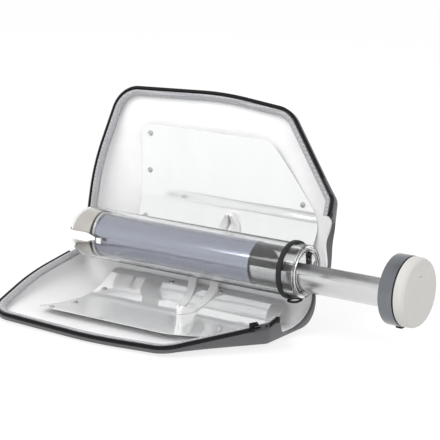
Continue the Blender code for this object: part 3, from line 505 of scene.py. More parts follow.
@dataclass(frozen=True)
class GlassFinish:
    """Clear borosilicate with the faintest breath of haze."""

    slot: str
    base: Colour

    def make(self) -> bpy.types.Material:
        """Makes the material.

        Returns:
            The finished material.
        """
        shader = Shader.start(self.slot + "_clear", self.base, 0.0)
        shader.set("Transmission Weight", 1.0)
        shader.set("IOR", 1.45)
        shader.rough(shader.noise(22.0, 60.0, 60.0), 0.0, 0.012)
        return shader.material


@dataclass
class FinishRack:
    """Every finish of the oven, made once and handed out by name."""

    recipes: tuple[object, ...] = (
        WovenFinish("case_fabric", (0.108, 0.106, 0.113), 0.0016, 0.00012),
        MeshFinish("binding_mesh", (0.44, 0.44, 0.46), 0.0011),
        PlasticFinish("zipper_black", (0.009, 0.009, 0.010), 0.42, shine=0.22),
        PlasticFinish("liner_white", (0.86, 0.86, 0.865), 0.42, 0.00003, 260.0),
        PlasticFinish("fin_white", (0.86, 0.86, 0.86), 0.35),
        MirrorFinish("reflector_silver", (0.86, 0.865, 0.87), 0.03, 0.0003, 0.5),
        BrushedFinish("bright_steel", (0.62, 0.62, 0.63), 0.25, Grain.FACING),
        BrushedFinish("gunmetal", (0.09, 0.09, 0.095), 0.3, Grain.FACING),
        GlassFinish("clear_glass", (0.985, 0.99, 0.99)),
        AbsorberFinish("absorber_coating", (0.275, 0.290, 0.345), 0.12),
        MirrorFinish("getter_film", (0.55, 0.525, 0.48), 0.16, 0.0),
        RubberFinish("black_silicone"),
        RubberFinish("pale_silicone", (0.62, 0.62, 0.62)),
        PlasticFinish("cream_strap", (0.87, 0.86, 0.83), 0.5),
        BrushedFinish("cap_steel", (0.20, 0.21, 0.225), 0.24, Grain.ROUND_AXIS),
        PlasticFinish("cap_cream", (0.56, 0.545, 0.52), 0.5, 0.00004, 700.0),
        PlasticFinish("plug_grey", (0.40, 0.40, 0.40), 0.8, 0.0002, 500.0),
        BrushedFinish("tray_steel", (0.64, 0.64, 0.645), 0.22, Grain.ALONG_AXIS),
    )
    made: dict[str, bpy.types.Material] = field(default_factory=dict)

    def __post_init__(self) -> None:
        """Makes every material."""
        for recipe in self.recipes:
            self.made[recipe.slot] = recipe.make()

    def __getitem__(self, slot: str) -> bpy.types.Material:
        """The material of a slot."""
        return self.made[slot]


@dataclass
class Workbench:
    """Turns meshes into pieces that ride their bodies, and keeps count of them."""

    rack: FinishRack
    count: int = 0

    def piece(
        self,
        name: str,
        bm: BMesh,
        slot: str,
        body: Body,
        nodes: Sequence[str] = (),
        place: Matrix = Matrix.Identity(4),
        sharp: float = SHARP_EDGE,
    ) -> Piece:
        """Makes a piece from a bmesh.

        Args:
            name: the piece's name.
            bm: its mesh, in the frame that place turns into the row frame.
            slot: the material slot of its finish.
            body: the body that it rides on.
            nodes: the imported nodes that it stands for.
            place: the matrix from the mesh's frame to the row frame.
            sharp: degrees over which an edge stays sharp.

        Returns:
            The piece.
        """
        bmesh.ops.remove_doubles(bm, verts=bm.verts, dist=SAME_POINT)
        bmesh.ops.transform(bm, matrix=place, verts=bm.verts)
        bmesh.ops.recalc_face_normals(bm, faces=bm.faces)
        made = stand_up(name, bm)
        made.data.shade_smooth()
        made.data.set_sharp_from_angle(angle=math.radians(sharp))
        made.data.materials.append(self.rack[slot])
        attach(made, body.value)
        if nodes:
            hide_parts(*nodes)
        self.count += 1
        LOG.info("%s: %d faces on %s", name, len(made.data.polygons), body.value)
        return made

    def keep(self, slot: str, *names: str, bevel: float = 0.0) -> None:
        """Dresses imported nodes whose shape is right.

        Args:
            slot: the material slot of their finish.
            *names: the nodes.
            bevel: how far to round their edges, in metres.
        """
        for name in names:
            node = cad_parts[name]
            for place in node.material_slots:
                place.material = self.rack[slot]
            if bevel:
                edge = node.modifiers.new("edge_round", "BEVEL")
                edge.width = bevel
                edge.segments = 2
                edge.angle_limit = math.radians(SHARP_EDGE)
                edge.harden_normals = True
            self.count += 1
            LOG.info("%s: packed shape, %s", name, slot)

    def carve(self, piece: Piece, cutter: BMesh) -> None:
        """Cuts a mesh out of a piece and leaves plain geometry.

        Args:
            piece: the piece.
            cutter: the closed mesh to cut with, in the row frame.
        """
        bmesh.ops.recalc_face_normals(cutter, faces=cutter.faces)
        tool = stand_up("cutter", cutter)
        modifier = piece.modifiers.new("cut", "BOOLEAN")
        modifier.operation = "DIFFERENCE"
        modifier.solver = "EXACT"
        modifier.object = tool
        graph = bpy.context.evaluated_depsgraph_get()
        result = bpy.data.meshes.new_from_object(piece.evaluated_get(graph))
        piece.modifiers.clear()
        piece.data = result
        bpy.data.objects.remove(tool)
        result.shade_smooth()
        result.set_sharp_from_angle(angle=math.radians(SHARP_EDGE))


class Forms:
    """Mesh forms that every sub-assembly is built from."""

    BAR_ENDS = ((-0.5, 0.45), (-0.36, 1.0), (0.36, 1.0), (0.5, 0.45))

    @staticmethod
    def skin(bm: BMesh, rows: Sequence[Sequence[bmesh.types.BMVert]]) -> None:
        """Joins each row of vertices to the next.

        Args:
            bm: the mesh that they belong to.
            rows: rows of equally many vertices; one that a row repeats gives triangles.
        """
        for low, high in zip(rows, rows[1:]):
            for i in range(len(low)):
                j = (i + 1) % len(low)
                ring = list(dict.fromkeys((low[i], low[j], high[j], high[i])))
                if len(ring) > 2:
                    bm.faces.new(ring)

    @staticmethod
    def loft(rings: Sequence[Sequence[Vector]], ends: bool = True, bm: BMesh | None = None) -> BMesh:
        """Joins rings of equally many points.

        Args:
            rings: the rings, in order.
            ends: True closes the first and last ring with a face, False joins the last to the first.
            bm: the mesh that the form is added to, or None for a new one.

        Returns:
            The mesh.
        """
        bm = bmesh.new() if bm is None else bm
        rows = [[bm.verts.new(point) for point in ring] for ring in rings]
        Forms.skin(bm, rows if ends else [*rows, rows[0]])
        if ends:
            bm.faces.new(rows[0])
            bm.faces.new(rows[-1])
        return bm

    @staticmethod
    def turned(
        profile: Section, steps: int, bm: BMesh | None = None, place: Matrix = Matrix.Identity(4)
    ) -> BMesh:
        """Spins a profile about the X axis.

        Args:
            profile: (x, radius) points, closed unless both ends lie on the axis.
            steps: how many sides the circle has.
            bm: the mesh that the form is added to, or None for a new one.
            place: where the form's own frame goes.

        Returns:
            The mesh, with one vertex where the profile meets the axis.
        """
        bm = bmesh.new() if bm is None else bm
        turns = [math.tau * k / steps for k in range(steps)]
        rows: list[list[bmesh.types.BMVert]] = []
        for x, radius in profile:
            if radius < SAME_POINT:
                rows.append([bm.verts.new(place @ Vector((x, 0.0, 0.0)))] * steps)
                continue
            ring = [Vector((x, radius * math.cos(t), radius * math.sin(t))) for t in turns]
            rows.append([bm.verts.new(place @ point) for point in ring])
        closed = profile[0][1] > SAME_POINT and profile[-1][1] > SAME_POINT
        Forms.skin(bm, [*rows, rows[0]] if closed else rows)
        return bm

    @staticmethod
    def arc(centre: tuple[float, float], radius: float, start: float, end: float, steps: int) -> Section:
        """The points of an arc from one angle to another, both ends included."""
        turns = [start + (end - start) * k / steps for k in range(steps + 1)]
        return [(centre[0] + radius * math.cos(t), centre[1] + radius * math.sin(t)) for t in turns]

    @staticmethod
    def fillet(corners: Corners, steps: int | Sequence[int]) -> Section:
        """Rounds the corners of a closed section or outline, each with an arc that meets both edges.

        Args:
            corners: (a, b, radius) in order.
            steps: how many chords a rounded corner has, the same for all or one number for each.

        Returns:
            The section's points.
        """
        counts = [steps] * len(corners) if isinstance(steps, int) else steps
        points: Section = []
        for i, (a, b, radius) in enumerate(corners):
            if radius <= 0:
                points.append((a, b))
                continue
            here = Vector((a, b))
            before = (Vector(corners[i - 1][:2]) - here).normalized()
            after = (Vector(corners[(i + 1) % len(corners)][:2]) - here).normalized()
            half = before.angle(after) / 2
            centre = here + (before + after).normalized() * (radius / math.sin(half))
            start, end = (here + side * (radius / math.tan(half)) - centre for side in (before, after))
            first = math.atan2(start.y, start.x)
            sweep = math.atan2(start.cross(end), start.dot(end))
            points.extend(Forms.arc((centre.x, centre.y), radius, first, first + sweep, counts[i]))
        return points

    @staticmethod
    def bar(bm: BMesh, place: Matrix, size: Size, sides: int = 6) -> None:
        """Adds one small rounded bar to a mesh.

        Args:
            bm: the mesh that it joins.
            place: its middle and axes; its length lies along X.
            size: its length, width and height.
            sides: how many sides its section has.
        """
        length, width, height = size
        turns = [math.tau * (k + 0.5) / sides for k in range(sides)]
        rings = []
        for share, girth in Forms.BAR_ENDS:
            y, z = width / 2 * girth, height / 2 * girth
            rings.append([place @ Vector((share * length, y * math.cos(t), z * math.sin(t))) for t in turns])
        Forms.loft(rings, bm=bm)


@dataclass(frozen=True)
class FoldFrame:
    """Where the tube's axis and the fold line lie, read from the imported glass."""

    mouth_x: float = 0.017
    tube_radius: float = 0.029
    spine_space: float = 0.011
    wedge: float = math.radians(11.5)
    opening: float = math.radians(116)
    lift: float = math.radians(49)

    @property
    def tube_from_spine(self) -> float:
        """From the fold line to the tube's axis."""
        return self.tube_radius + self.spine_space

    @property
    def tube(self) -> Vector:
        """The tube's own origin, at the silicone ring."""
        low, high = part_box("outer_glass")
        return Vector((high.x - self.mouth_x, (low.y + high.y) / 2, (low.z + high.z) / 2))

    @property
    def spine(self) -> Vector:
        """The fold line's point with the ring's X."""
        rise = self.lift - self.wedge
        return self.tube + Vector((0.0, math.cos(rise), -math.sin(rise))) * self.tube_from_spine

    def half(self, half: Half) -> Matrix:
        """Places one half of the case.

        Args:
            half: which half.

        Returns:
            The matrix from its (u, v, w) to the row frame.
        """
        side = -1.0 if half is Half.LOWER else 1.0
        turn = self.wedge if half is Half.LOWER else self.wedge - self.opening + math.pi
        mirror = Matrix.Diagonal((1.0, side, 1.0, 1.0))
        return Matrix.Translation(self.spine) @ Matrix.Rotation(turn, 4, "X") @ mirror

    def on_tube(self, along: float = 0.0) -> Matrix:
        """The matrix from the tube's frame, moved along its axis, to the row frame."""
        return Matrix.Translation(self.tube + Vector((along, 0.0, 0.0)))


@dataclass
class CaseHalf:
    """A half of the clamshell: shell, lining, reflector, rivets, fin, binding and its zipper."""

    half: Half
    fold: FoldFrame
    bench: Workbench
    outline: Corners = (
        (-0.3120, 0.000, 0.014),
        (-0.3165, 0.092, 0.240),
        (-0.2960, 0.188, 0.034),
        (-0.1500, 0.195, 0.420),
        (-0.0600, 0.186, 0.036),
        (0.0110, 0.097, 0.011),
        (0.0100, 0.000, 0.003),
    )
    side_reach: tuple[float, ...] = (0.044, 0.044, 0.036, 0.036, 0.027, 0.020, 0.018)
    corner_steps: tuple[int, ...] = (10, 12, 22, 18, 22, 12, 4)
    floor_space: float = 0.0215
    floor_corner: float = 0.012
    rim_corner: float = 0.002
    fold_edge: float = 0.001
    rings: int = 18
    edge_step: float = 0.012
    shell_wall: float = 0.003
    liner_wall: float = 0.001
    shell_top: float = 0.0073
    gap: float = 0.0003
    notch_margin: float = 0.0075
    notch_reach: float = 0.030
    notch_steps: int = 128
    chain_start: float = 0.016
    chain_gap: float = 0.005
    tape: float = 0.0012
    tape_top: float = 0.0007
    tooth_pitch: float = 0.00155
    tooth_size: Size = (0.0010, 0.0026, 0.0034)
    zipper_skin: float = 0.0006
    tape_end: float = -0.0050
    facing_lift: float = 0.0001
    facing_width: float = 0.0022
    binding_start: float = 0.0026
    binding_width: float = 0.0070
    binding_round: float = 0.0022
    binding_crown: float = 0.0034
    binding_back: float = 0.006
    binding_gap: float = 0.0008
    slider_rest: tuple[float, float] = (0.0023, 0.110)
    slider_room: float = 0.010
    stitch_pitch: float = 0.0034
    stitch_size: Size = (0.0024, 0.0006, 0.0005)
    stitch_place: tuple[float, float] = (0.0016, 0.0004)
    sheet: Corners = (
        (-0.262, 0.0033, 0.006),
        (-0.262, 0.1455, 0.010),
        (-0.082, 0.1455, 0.024),
        (-0.018, 0.0645, 0.036),
        (-0.024, 0.0033, 0.010),
    )
    sheet_thickness: float = 0.0005
    sheet_rows: int = 84
    sheet_columns: int = 8
    sheet_steps: tuple[int, ...] = (12, 14, 20, 24, 12)
    sheet_slack: float = 1e-5
    tube_focus: float = 0.040
    front_focus: float = 0.200
    touch: float = 0.064
    rivets: tuple[tuple[float, float], ...] = (
        (-0.249, 0.134),
        (-0.251, 0.090),
        (-0.252, 0.036),
        (-0.177, 0.0072),
        (-0.110, 0.0072),
        (-0.040, 0.078),
    )
    rivet_head: float = 0.0032
    rivet_rise: float = 0.0013
    rivet_shank: tuple[float, float] = (0.0014, 0.0012)
    rivet_mandrel: Size = (0.0009, 0.0004, 0.0006)
    rivet_dome: tuple[int, ...] = (18, 36, 54, 68)
    rivet_steps: int = 28
    fin_nose: float = 0.0560
    fin_root: float = 0.0085
    fin_centre: float = -0.1320
    fin_spread: float = 0.0100
    fin_blade: float = 0.0100
    fin_height: float = 0.036
    fin_rows: int = 40
    fin_lip: float = 0.0060
    fin_climb: float = 2.6
    fin_least: float = 0.0004
    fin_bend: float = 0.0008
    fin_taper: tuple[float, float] = (0.3, 2.5)

    @property
    def spine_depth(self) -> float:
        """How deep the case is at the fold."""
        return self.fold.tube_radius + self.floor_space

    @property
    def notch_radius(self) -> float:
        """The radius of the mouth's half-round notch."""
        return self.fold.tube_radius + self.notch_margin

    def depth(self, v: float) -> float:
        """How deep the wedge-shaped case is at a distance from the fold."""
        return self.spine_depth - v * math.tan(self.fold.wedge)

    def trough(self, s: float) -> tuple[float, float]:
        """The reflecting face: a tight parabola under the tube and a slow one in front of it.

        Args:
            s: distance from the fold, along the case's flat floor.

        Returns:
            The face's height over that floor, and its slope in radians.
        """
        focus = self.tube_focus if s < self.touch else self.front_focus
        seat = self.shell_wall + self.liner_wall + 2 * self.gap + self.sheet_thickness
        away = s - self.touch
        return seat + away**2 / (4 * focus), math.atan(away / (2 * focus))

    def over_floor(self, u: float, s: float, height: float) -> Vector:
        """Finds a point by its place over the case's flat floor.

        Args:
            u: its place along the fold.
            s: its distance from the fold, along the floor.
            height: its height over the floor.

        Returns:
            The point, as (u, v, w).
        """
        wedge = self.fold.wedge
        below = self.spine_depth * math.cos(wedge) - height
        v = s * math.cos(wedge) + below * math.sin(wedge)
        return Vector((u, v, s * math.sin(wedge) - below * math.cos(wedge)))

    @staticmethod
    def inset(corners: Corners, insets: Sequence[float], least: float) -> Corners:
        """Moves each edge of a clockwise outline inwards.

        Args:
            corners: (u, v, radius) of each corner.
            insets: how far each edge moves.
            least: the smallest corner radius that stays.

        Returns:
            The moved corners.
        """
        points = [Vector(corner[:2]) for corner in corners]
        runs = [(ahead - here).normalized() for here, ahead in zip(points, points[1:] + points[:1])]
        lines = [here + Vector((run.y, -run.x)) * inset for here, run, inset in zip(points, runs, insets)]
        moved = []
        for i, (_, _, radius) in enumerate(corners):
            along, across = runs[i - 1], runs[i]
            reach = (lines[i] - lines[i - 1]).cross(across) / along.cross(across)
            u, v = lines[i - 1] + along * reach
            moved.append((u, v, max(radius - min(insets[i - 1], insets[i]), min(radius, least))))
        return moved

    @staticmethod
    def rounded(corners: Corners, steps: Sequence[int]) -> Outline:
        """The points of an outline whose corners are arcs."""
        return [Vector(point) for point in Forms.fillet(corners, steps)]

    def spaced(self, outlines: Sequence[Outline]) -> list[Outline]:
        """Adds points along the long straight runs, at the same shares in every outline.

        Args:
            outlines: outlines of equally many points; the first sets the spacing.

        Returns:
            The finer outlines.
        """
        lead = outlines[0]
        fine: list[Outline] = [[] for _ in outlines]
        for i in range(len(lead)):
            j = (i + 1) % len(lead)
            parts = max(1, math.ceil((lead[j] - lead[i]).length / self.edge_step))
            for target, source in zip(fine, outlines):
                target.extend(source[i].lerp(source[j], k / parts) for k in range(parts))
        return fine

    def wall(self, inset: float) -> list[list[Vector]]:
        """Rings of one wall surface, from its top edge to its flat floor.

        Args:
            inset: how far the surface lies inside the case's outer face.

        Returns:
            The rings, as (u, v, w) points.
        """
        edges = len(self.outline)
        rim = self.rounded(self.inset(self.outline, [inset] * edges, self.rim_corner), self.corner_steps)
        reach = [side + inset for side in self.side_reach]
        floor = self.rounded(self.inset(self.outline, reach, self.floor_corner), self.corner_steps)
        rim, floor = self.spaced([rim, floor])
        rings = []
        for k in range(self.rings + 1):
            turn = math.pi / 2 * k / self.rings
            ring = []
            for a, b in zip(rim, floor):
                u, v = a.lerp(b, 1 - math.cos(turn))
                drop = self.shell_top + (self.depth(v) - inset - self.shell_top) * math.sin(turn)
                ring.append(Vector((u, v, -drop)))
            rings.append(ring)
        return rings

    def dish(self, outer: float, inner: float) -> BMesh:
        """An open dish between two wall surfaces."""
        return Forms.loft([*reversed(self.wall(outer)), *self.wall(inner)])

    def notch(self, margin: float) -> BMesh:
        """Makes the round cutter for the tube's mouth.

        Args:
            margin: how much wider than the notch it is.

        Returns:
            The cutter, in the row frame.
        """
        end, radius = self.outline[-1][0], self.notch_radius + margin
        circle = Forms.arc((self.fold.tube_from_spine, 0.0), radius, 0, math.tau, self.notch_steps)[:-1]
        stations = (end - self.notch_reach, end + self.notch_reach)
        bm = Forms.loft([[Vector((u, v, w)) for v, w in circle] for u in stations])
        bmesh.ops.transform(bm, matrix=self.fold.half(self.half), verts=bm.verts)
        return bm

    def rim(self) -> RimPath:
        """Follows the rim from the fold's right end all the way round.

        Returns:
            The rim's points with their inward directions.
        """
        outline = self.spaced([self.rounded(self.outline, self.corner_steps)])[0]
        path = []
        for i, here in enumerate(outline):
            run = (outline[(i + 1) % len(outline)] - outline[i - 1]).normalized()
            path.append((here, Vector((run.y, -run.x))))
        first = max(i for i, (here, _) in enumerate(path) if here.y > self.fold_edge) + 1
        return path[first:] + path[:first]

    def notch_side(self, gap: float) -> Vector:
        """Finds the point of the rim's right end in front of the notch.

        Args:
            gap: its distance from the notch.

        Returns:
            The point.
        """
        high, low = (Vector(corner[:2]) for corner in self.outline[-2:])
        v = self.fold.tube_from_spine + self.notch_radius + gap
        return low.lerp(high, v / high.y)

    def binding_path(self) -> RimPath:
        """Follows the whole rim except the notch's mouth.

        Returns:
            The path's points with their inward directions.
        """
        start = Vector((self.outline[-1][0] - self.notch_reach - self.binding_back, 0.0))
        front = self.fold.tube_from_spine + self.notch_radius
        path = [(start, Vector((0.0, 1.0)))]
        path += [(p, inward) for p, inward in self.rim() if p.y > front or p.x < start.x]
        path.append((self.notch_side(self.binding_gap), Vector((-1.0, 0.0))))
        return path

    def zipper_path(self) -> RimPath:
        """Follows the rim from past the fold's left end round to the notch.

        Returns:
            The path's points with their inward directions.
        """
        front = self.fold.tube_from_spine + self.notch_radius + self.chain_gap
        rim = [(p, inward) for p, inward in self.rim() if p.y > self.chain_start]
        path = [(p, inward) for p, inward in rim if p.x < 0 or p.y > front]
        path.append((self.notch_side(self.chain_gap), Vector((-1.0, 0.0))))
        return path

    @staticmethod
    def swept(path: RimPath, corners: Corners, steps: int) -> BMesh:
        """Sweeps a section along the rim, from its (inset, w, radius) corners."""
        section = Forms.fillet(corners, steps)
        return Forms.loft([[Vector((*(here + inward * s), w)) for s, w in section] for here, inward in path])

    @staticmethod
    def beads(path: RimPath, inset: float, pitch: float) -> RimPath:
        """Even stations along a line that runs an inset inside the rim.

        Args:
            path: the rim's points and inward directions.
            inset: how far inside the rim the line runs.
            pitch: the distance from one station to the next.

        Returns:
            Each station's point and the line's direction there.
        """
        line = [here + inward * inset for here, inward in path]
        stations = []
        rest = pitch / 2
        for a, b in zip(line, line[1:]):
            length = (b - a).length
            while rest < length:
                stations.append((a.lerp(b, rest / length), (b - a).normalized()))
                rest += pitch
            rest -= length
        return stations

    def bars(self, path: RimPath, inset: float, pitch: float, size: Size, w: float) -> BMesh:
        """A row of small rounded bars along the rim, with room for the parked slider on the upper half.

        Args:
            path: the rim's points and inward directions.
            inset: how far inside the rim the row runs.
            pitch: the distance between bars.
            size: each bar's length along the row, width and height.
            w: the height of the bars' middles.

        Returns:
            All the bars in one mesh.
        """
        bm = bmesh.new()
        parked = Vector(self.slider_rest)
        for here, run in self.beads(path, inset, pitch):
            if self.half is Half.UPPER and (here - parked).length < self.slider_room:
                continue
            turn = Matrix.Rotation(math.atan2(run.y, run.x), 4, "Z")
            Forms.bar(bm, Matrix.Translation((*here, w)) @ turn, size)
        return bm

    def add(
        self, name: str, bm: BMesh, slot: str, nodes: Sequence[str] = (), sharp: float = SHARP_EDGE
    ) -> Piece:
        """Makes a piece of this half.

        Args:
            name: its name without the half's prefix.
            bm: its mesh, in (u, v, w).
            slot: the material slot of its finish.
            nodes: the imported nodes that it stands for, without the half's prefix.
            sharp: degrees over which an edge stays sharp.

        Returns:
            The piece.
        """
        prefix, place = self.half.value + "_", self.fold.half(self.half)
        named = [prefix + node for node in nodes]
        return self.bench.piece(prefix + name, bm, slot, self.half.body, named, place, sharp)

    def build_shell(self) -> None:
        """The woven outer shell and the white lining, both with the mouth's notch."""
        shell = self.add("woven_shell", self.dish(0.0, self.shell_wall), "case_fabric", ["shell"])
        self.bench.carve(shell, self.notch(0.0))
        start = self.shell_wall + self.gap
        lining = self.add("lining", self.dish(start, start + self.liner_wall), "liner_white", ["liner"])
        self.bench.carve(lining, self.notch(2 * self.gap))

    def build_reflector(self) -> None:
        """The curved mirror sheet and the domed rivets that hold it."""
        outline = self.rounded(self.sheet, self.sheet_steps)
        low = min(point.y for point in outline) + self.sheet_slack
        high = max(point.y for point in outline) - self.sheet_slack
        rings = []
        for k in range(self.sheet_rows + 1):
            s = low + (high - low) * (1 - math.cos(math.pi * k / self.sheet_rows)) / 2
            left, right = self.span(outline, s)
            across = [left + (right - left) * n / self.sheet_columns for n in range(self.sheet_columns + 1)]
            top, slope = self.trough(s)
            back = top - self.sheet_thickness * math.cos(slope)
            under = s + self.sheet_thickness * math.sin(slope)
            ring = [self.over_floor(u, s, top) for u in across]
            rings.append(ring + [self.over_floor(u, under, back) for u in reversed(across)])
        self.add("mirror_sheet", Forms.loft(rings), "reflector_silver", ["reflector"])
        heads = bmesh.new()
        for u, s in self.rivets:
            self.add_rivet(heads, u, s)
        self.add("rivet_heads", heads, "bright_steel", [f"rivet_{n + 1}" for n in range(len(self.rivets))])

    @staticmethod
    def span(outline: Outline, v: float) -> tuple[float, float]:
        """Measures an outline along one line.

        Args:
            outline: the outline's points.
            v: the line's distance from the fold.

        Returns:
            The lowest and the highest u of the outline there.
        """
        hits = []
        for a, b in zip(outline, outline[1:] + outline[:1]):
            if (a.y - v) * (b.y - v) <= 0 and abs(a.y - b.y) > SAME_POINT:
                hits.append(a.x + (b.x - a.x) * (v - a.y) / (b.y - a.y))
        return min(hits), max(hits)

    def add_rivet(self, heads: BMesh, u: float, s: float) -> None:
        """Adds one domed rivet head with its sunk mandrel, square to the sheet.

        Args:
            heads: the mesh that it joins.
            u: its place along the fold.
            s: its distance from the fold, along the case's flat floor.
        """
        height, slope = self.trough(s)
        shank, depth = self.rivet_shank
        hollow, lip, floor = self.rivet_mandrel
        foot, seat, top = self.gap - depth, self.gap, self.gap + self.rivet_rise
        profile: Section = [(foot, 0.0), (foot, shank), (seat, shank), (seat, self.rivet_head)]
        for turn in map(math.radians, self.rivet_dome):
            profile.append((seat + self.rivet_rise * math.sin(turn), self.rivet_head * math.cos(turn)))
        profile += [(top - lip, hollow), (top - floor, 0.0)]
        upright = Matrix.Rotation(self.fold.wedge + slope, 4, "X") @ Matrix.Rotation(-math.pi / 2, 4, "Y")
        place = Matrix.Translation(self.over_floor(u, s, height)) @ upright
        Forms.turned(profile, self.rivet_steps, heads, place)

    def fin_top(self, s: float, low: float) -> float:
        """The fin's upper edge, which follows the shut tube and falls to a nose in front.

        Args:
            s: distance from the fold, along the case's flat floor.
            low: the height of the fin's foot there.

        Returns:
            The edge's height over that floor.
        """
        wedge, reach = self.fold.wedge, self.fold.tube_from_spine
        away = s - reach * math.cos(wedge)
        axis = self.spine_depth * math.cos(wedge) - reach * math.sin(wedge)
        room = self.fold.tube_radius + 2 * self.gap
        limit = self.fin_height if abs(away) >= room else axis - math.sqrt(room**2 - away**2)
        nose = low + self.fin_lip + (self.fin_nose - s) * self.fin_climb
        return max(low + self.fin_least, min(limit, nose, self.fin_height))

    def build_fin(self) -> None:
        """The white cradle of the shut tube: two blades that spread from a low nose to the fold."""
        bm = bmesh.new()
        tip, widening = self.fin_taper
        for side in (-1.0, 1.0):
            rings = []
            for k in range(self.fin_rows + 1):
                share = k / self.fin_rows
                s = self.fin_nose + (self.fin_root - self.fin_nose) * share
                half = self.fin_blade / 2 * min(1.0, tip + share * widening)
                u = self.fin_centre + side * (half + self.fin_spread * share)
                low = self.trough(s)[0] + self.gap
                top = self.fin_top(s, low)
                bend = min(self.fin_bend, (top - low) / 3)
                edge = [(-half, low), (half, low), (half, top - bend), (half - bend, top)]
                edge += [(bend - half, top), (-half, top - bend)]
                rings.append([self.over_floor(u + across, s, z) for across, z in edge])
            Forms.loft(rings, bm=bm)
        self.add("fin_cradle", bm, "fin_white", ["fin"])

    def build_rim(self) -> None:
        """The padded binding with its stitches, and the zipper's tape, teeth and facing."""
        low, top = -self.shell_top + self.gap, -self.tape_top
        left, right = self.binding_start, self.binding_start + self.binding_width
        bend = self.binding_round
        corners = [(left, low, 0.0006), (right, low, 0.0016), (right, low / 2, bend)]
        corners += [(left + self.binding_crown, top, bend), (left, top, 0.0008)]
        path = self.binding_path()
        swept = self.swept(path, corners, 6)
        self.add("mesh_binding", swept, "binding_mesh", ["binding"], SOFT_EDGE)
        inset, sink = self.stitch_place
        stitches = self.bars(path[3:-1], left + inset, self.stitch_pitch, self.stitch_size, top - sink)
        self.add("stitches", stitches, "zipper_black", sharp=SOFT_EDGE)

        path, skin, end = self.zipper_path(), self.zipper_skin, self.tape_end
        tape = [(skin / 3, low, 0.0), (self.tape, low, 0.0), (self.tape, top, 0.0004), (-skin, top, 0.0004)]
        tape += [(-skin, end, 0.0002), (skin / 3, end, 0.0)]
        self.add("zipper_tape", self.swept(path, tape, 3), "zipper_black", ["zipper"], SOFT_EDGE)
        teeth = self.bars(path, -skin, self.tooth_pitch, self.tooth_size, top - self.tooth_size[2] / 2)
        self.add("zipper_teeth", teeth, "zipper_black", sharp=SOFT_EDGE)
        lift, start, end = -self.facing_lift, end - self.gap / 2, low - self.facing_width
        facing = [(lift, start, 0.0), (-skin, start, 0.0002), (-skin, end, 0.0003), (lift, end, 0.0)]
        self.add("rim_facing", self.swept(path, facing, 3), "case_fabric", sharp=SOFT_EDGE)

    def build(self) -> None:
        """Builds and dresses the whole half."""
        self.build_shell()
        self.build_reflector()
        self.build_fin()
        self.build_rim()
        self.bench.keep("zipper_black", self.half.value + "_chain_stop", bevel=0.0003)


@dataclass
class Fold:
    """The spine tape, and the slider with its pull."""

    fold: FoldFrame
    bench: Workbench
    start: float = -0.296
    end: float = 0.0
    height: float = 0.025
    thickness: float = 0.0007
    offset: float = 0.0014
    bead: float = 0.0009
    bead_start: float = 0.0045
    bead_turn: tuple[float, float] = (1.1, -0.4)
    columns: int = 60

    def build(self) -> None:
        """The fabric tape with its fold bead, and the zipper's fittings."""
        back, front = -self.offset, self.thickness - self.offset
        start, end = (math.pi * share for share in self.bead_turn)
        section: Section = [(back, -self.height), (back, -self.bead_start)]
        section += Forms.arc((0.0, -self.bead / 5), self.bead, start, end, 12)
        section += [(front, -self.bead_start), (front, -self.height)]
        span, columns = self.end - self.start, self.columns
        stations = [self.start + span * k / columns for k in range(columns + 1)]
        web = Forms.loft([[Vector((u, v, w)) for v, w in section] for u in stations])
        place = self.fold.half(Half.LOWER)
        self.bench.piece("spine_web", web, "case_fabric", Body.LOWER, ["spine_tape"], place, SOFT_EDGE)
        self.bench.keep("zipper_black", "zipper_slider", bevel=0.0003)
        self.bench.keep("gunmetal", "zipper_pull", bevel=0.00025)


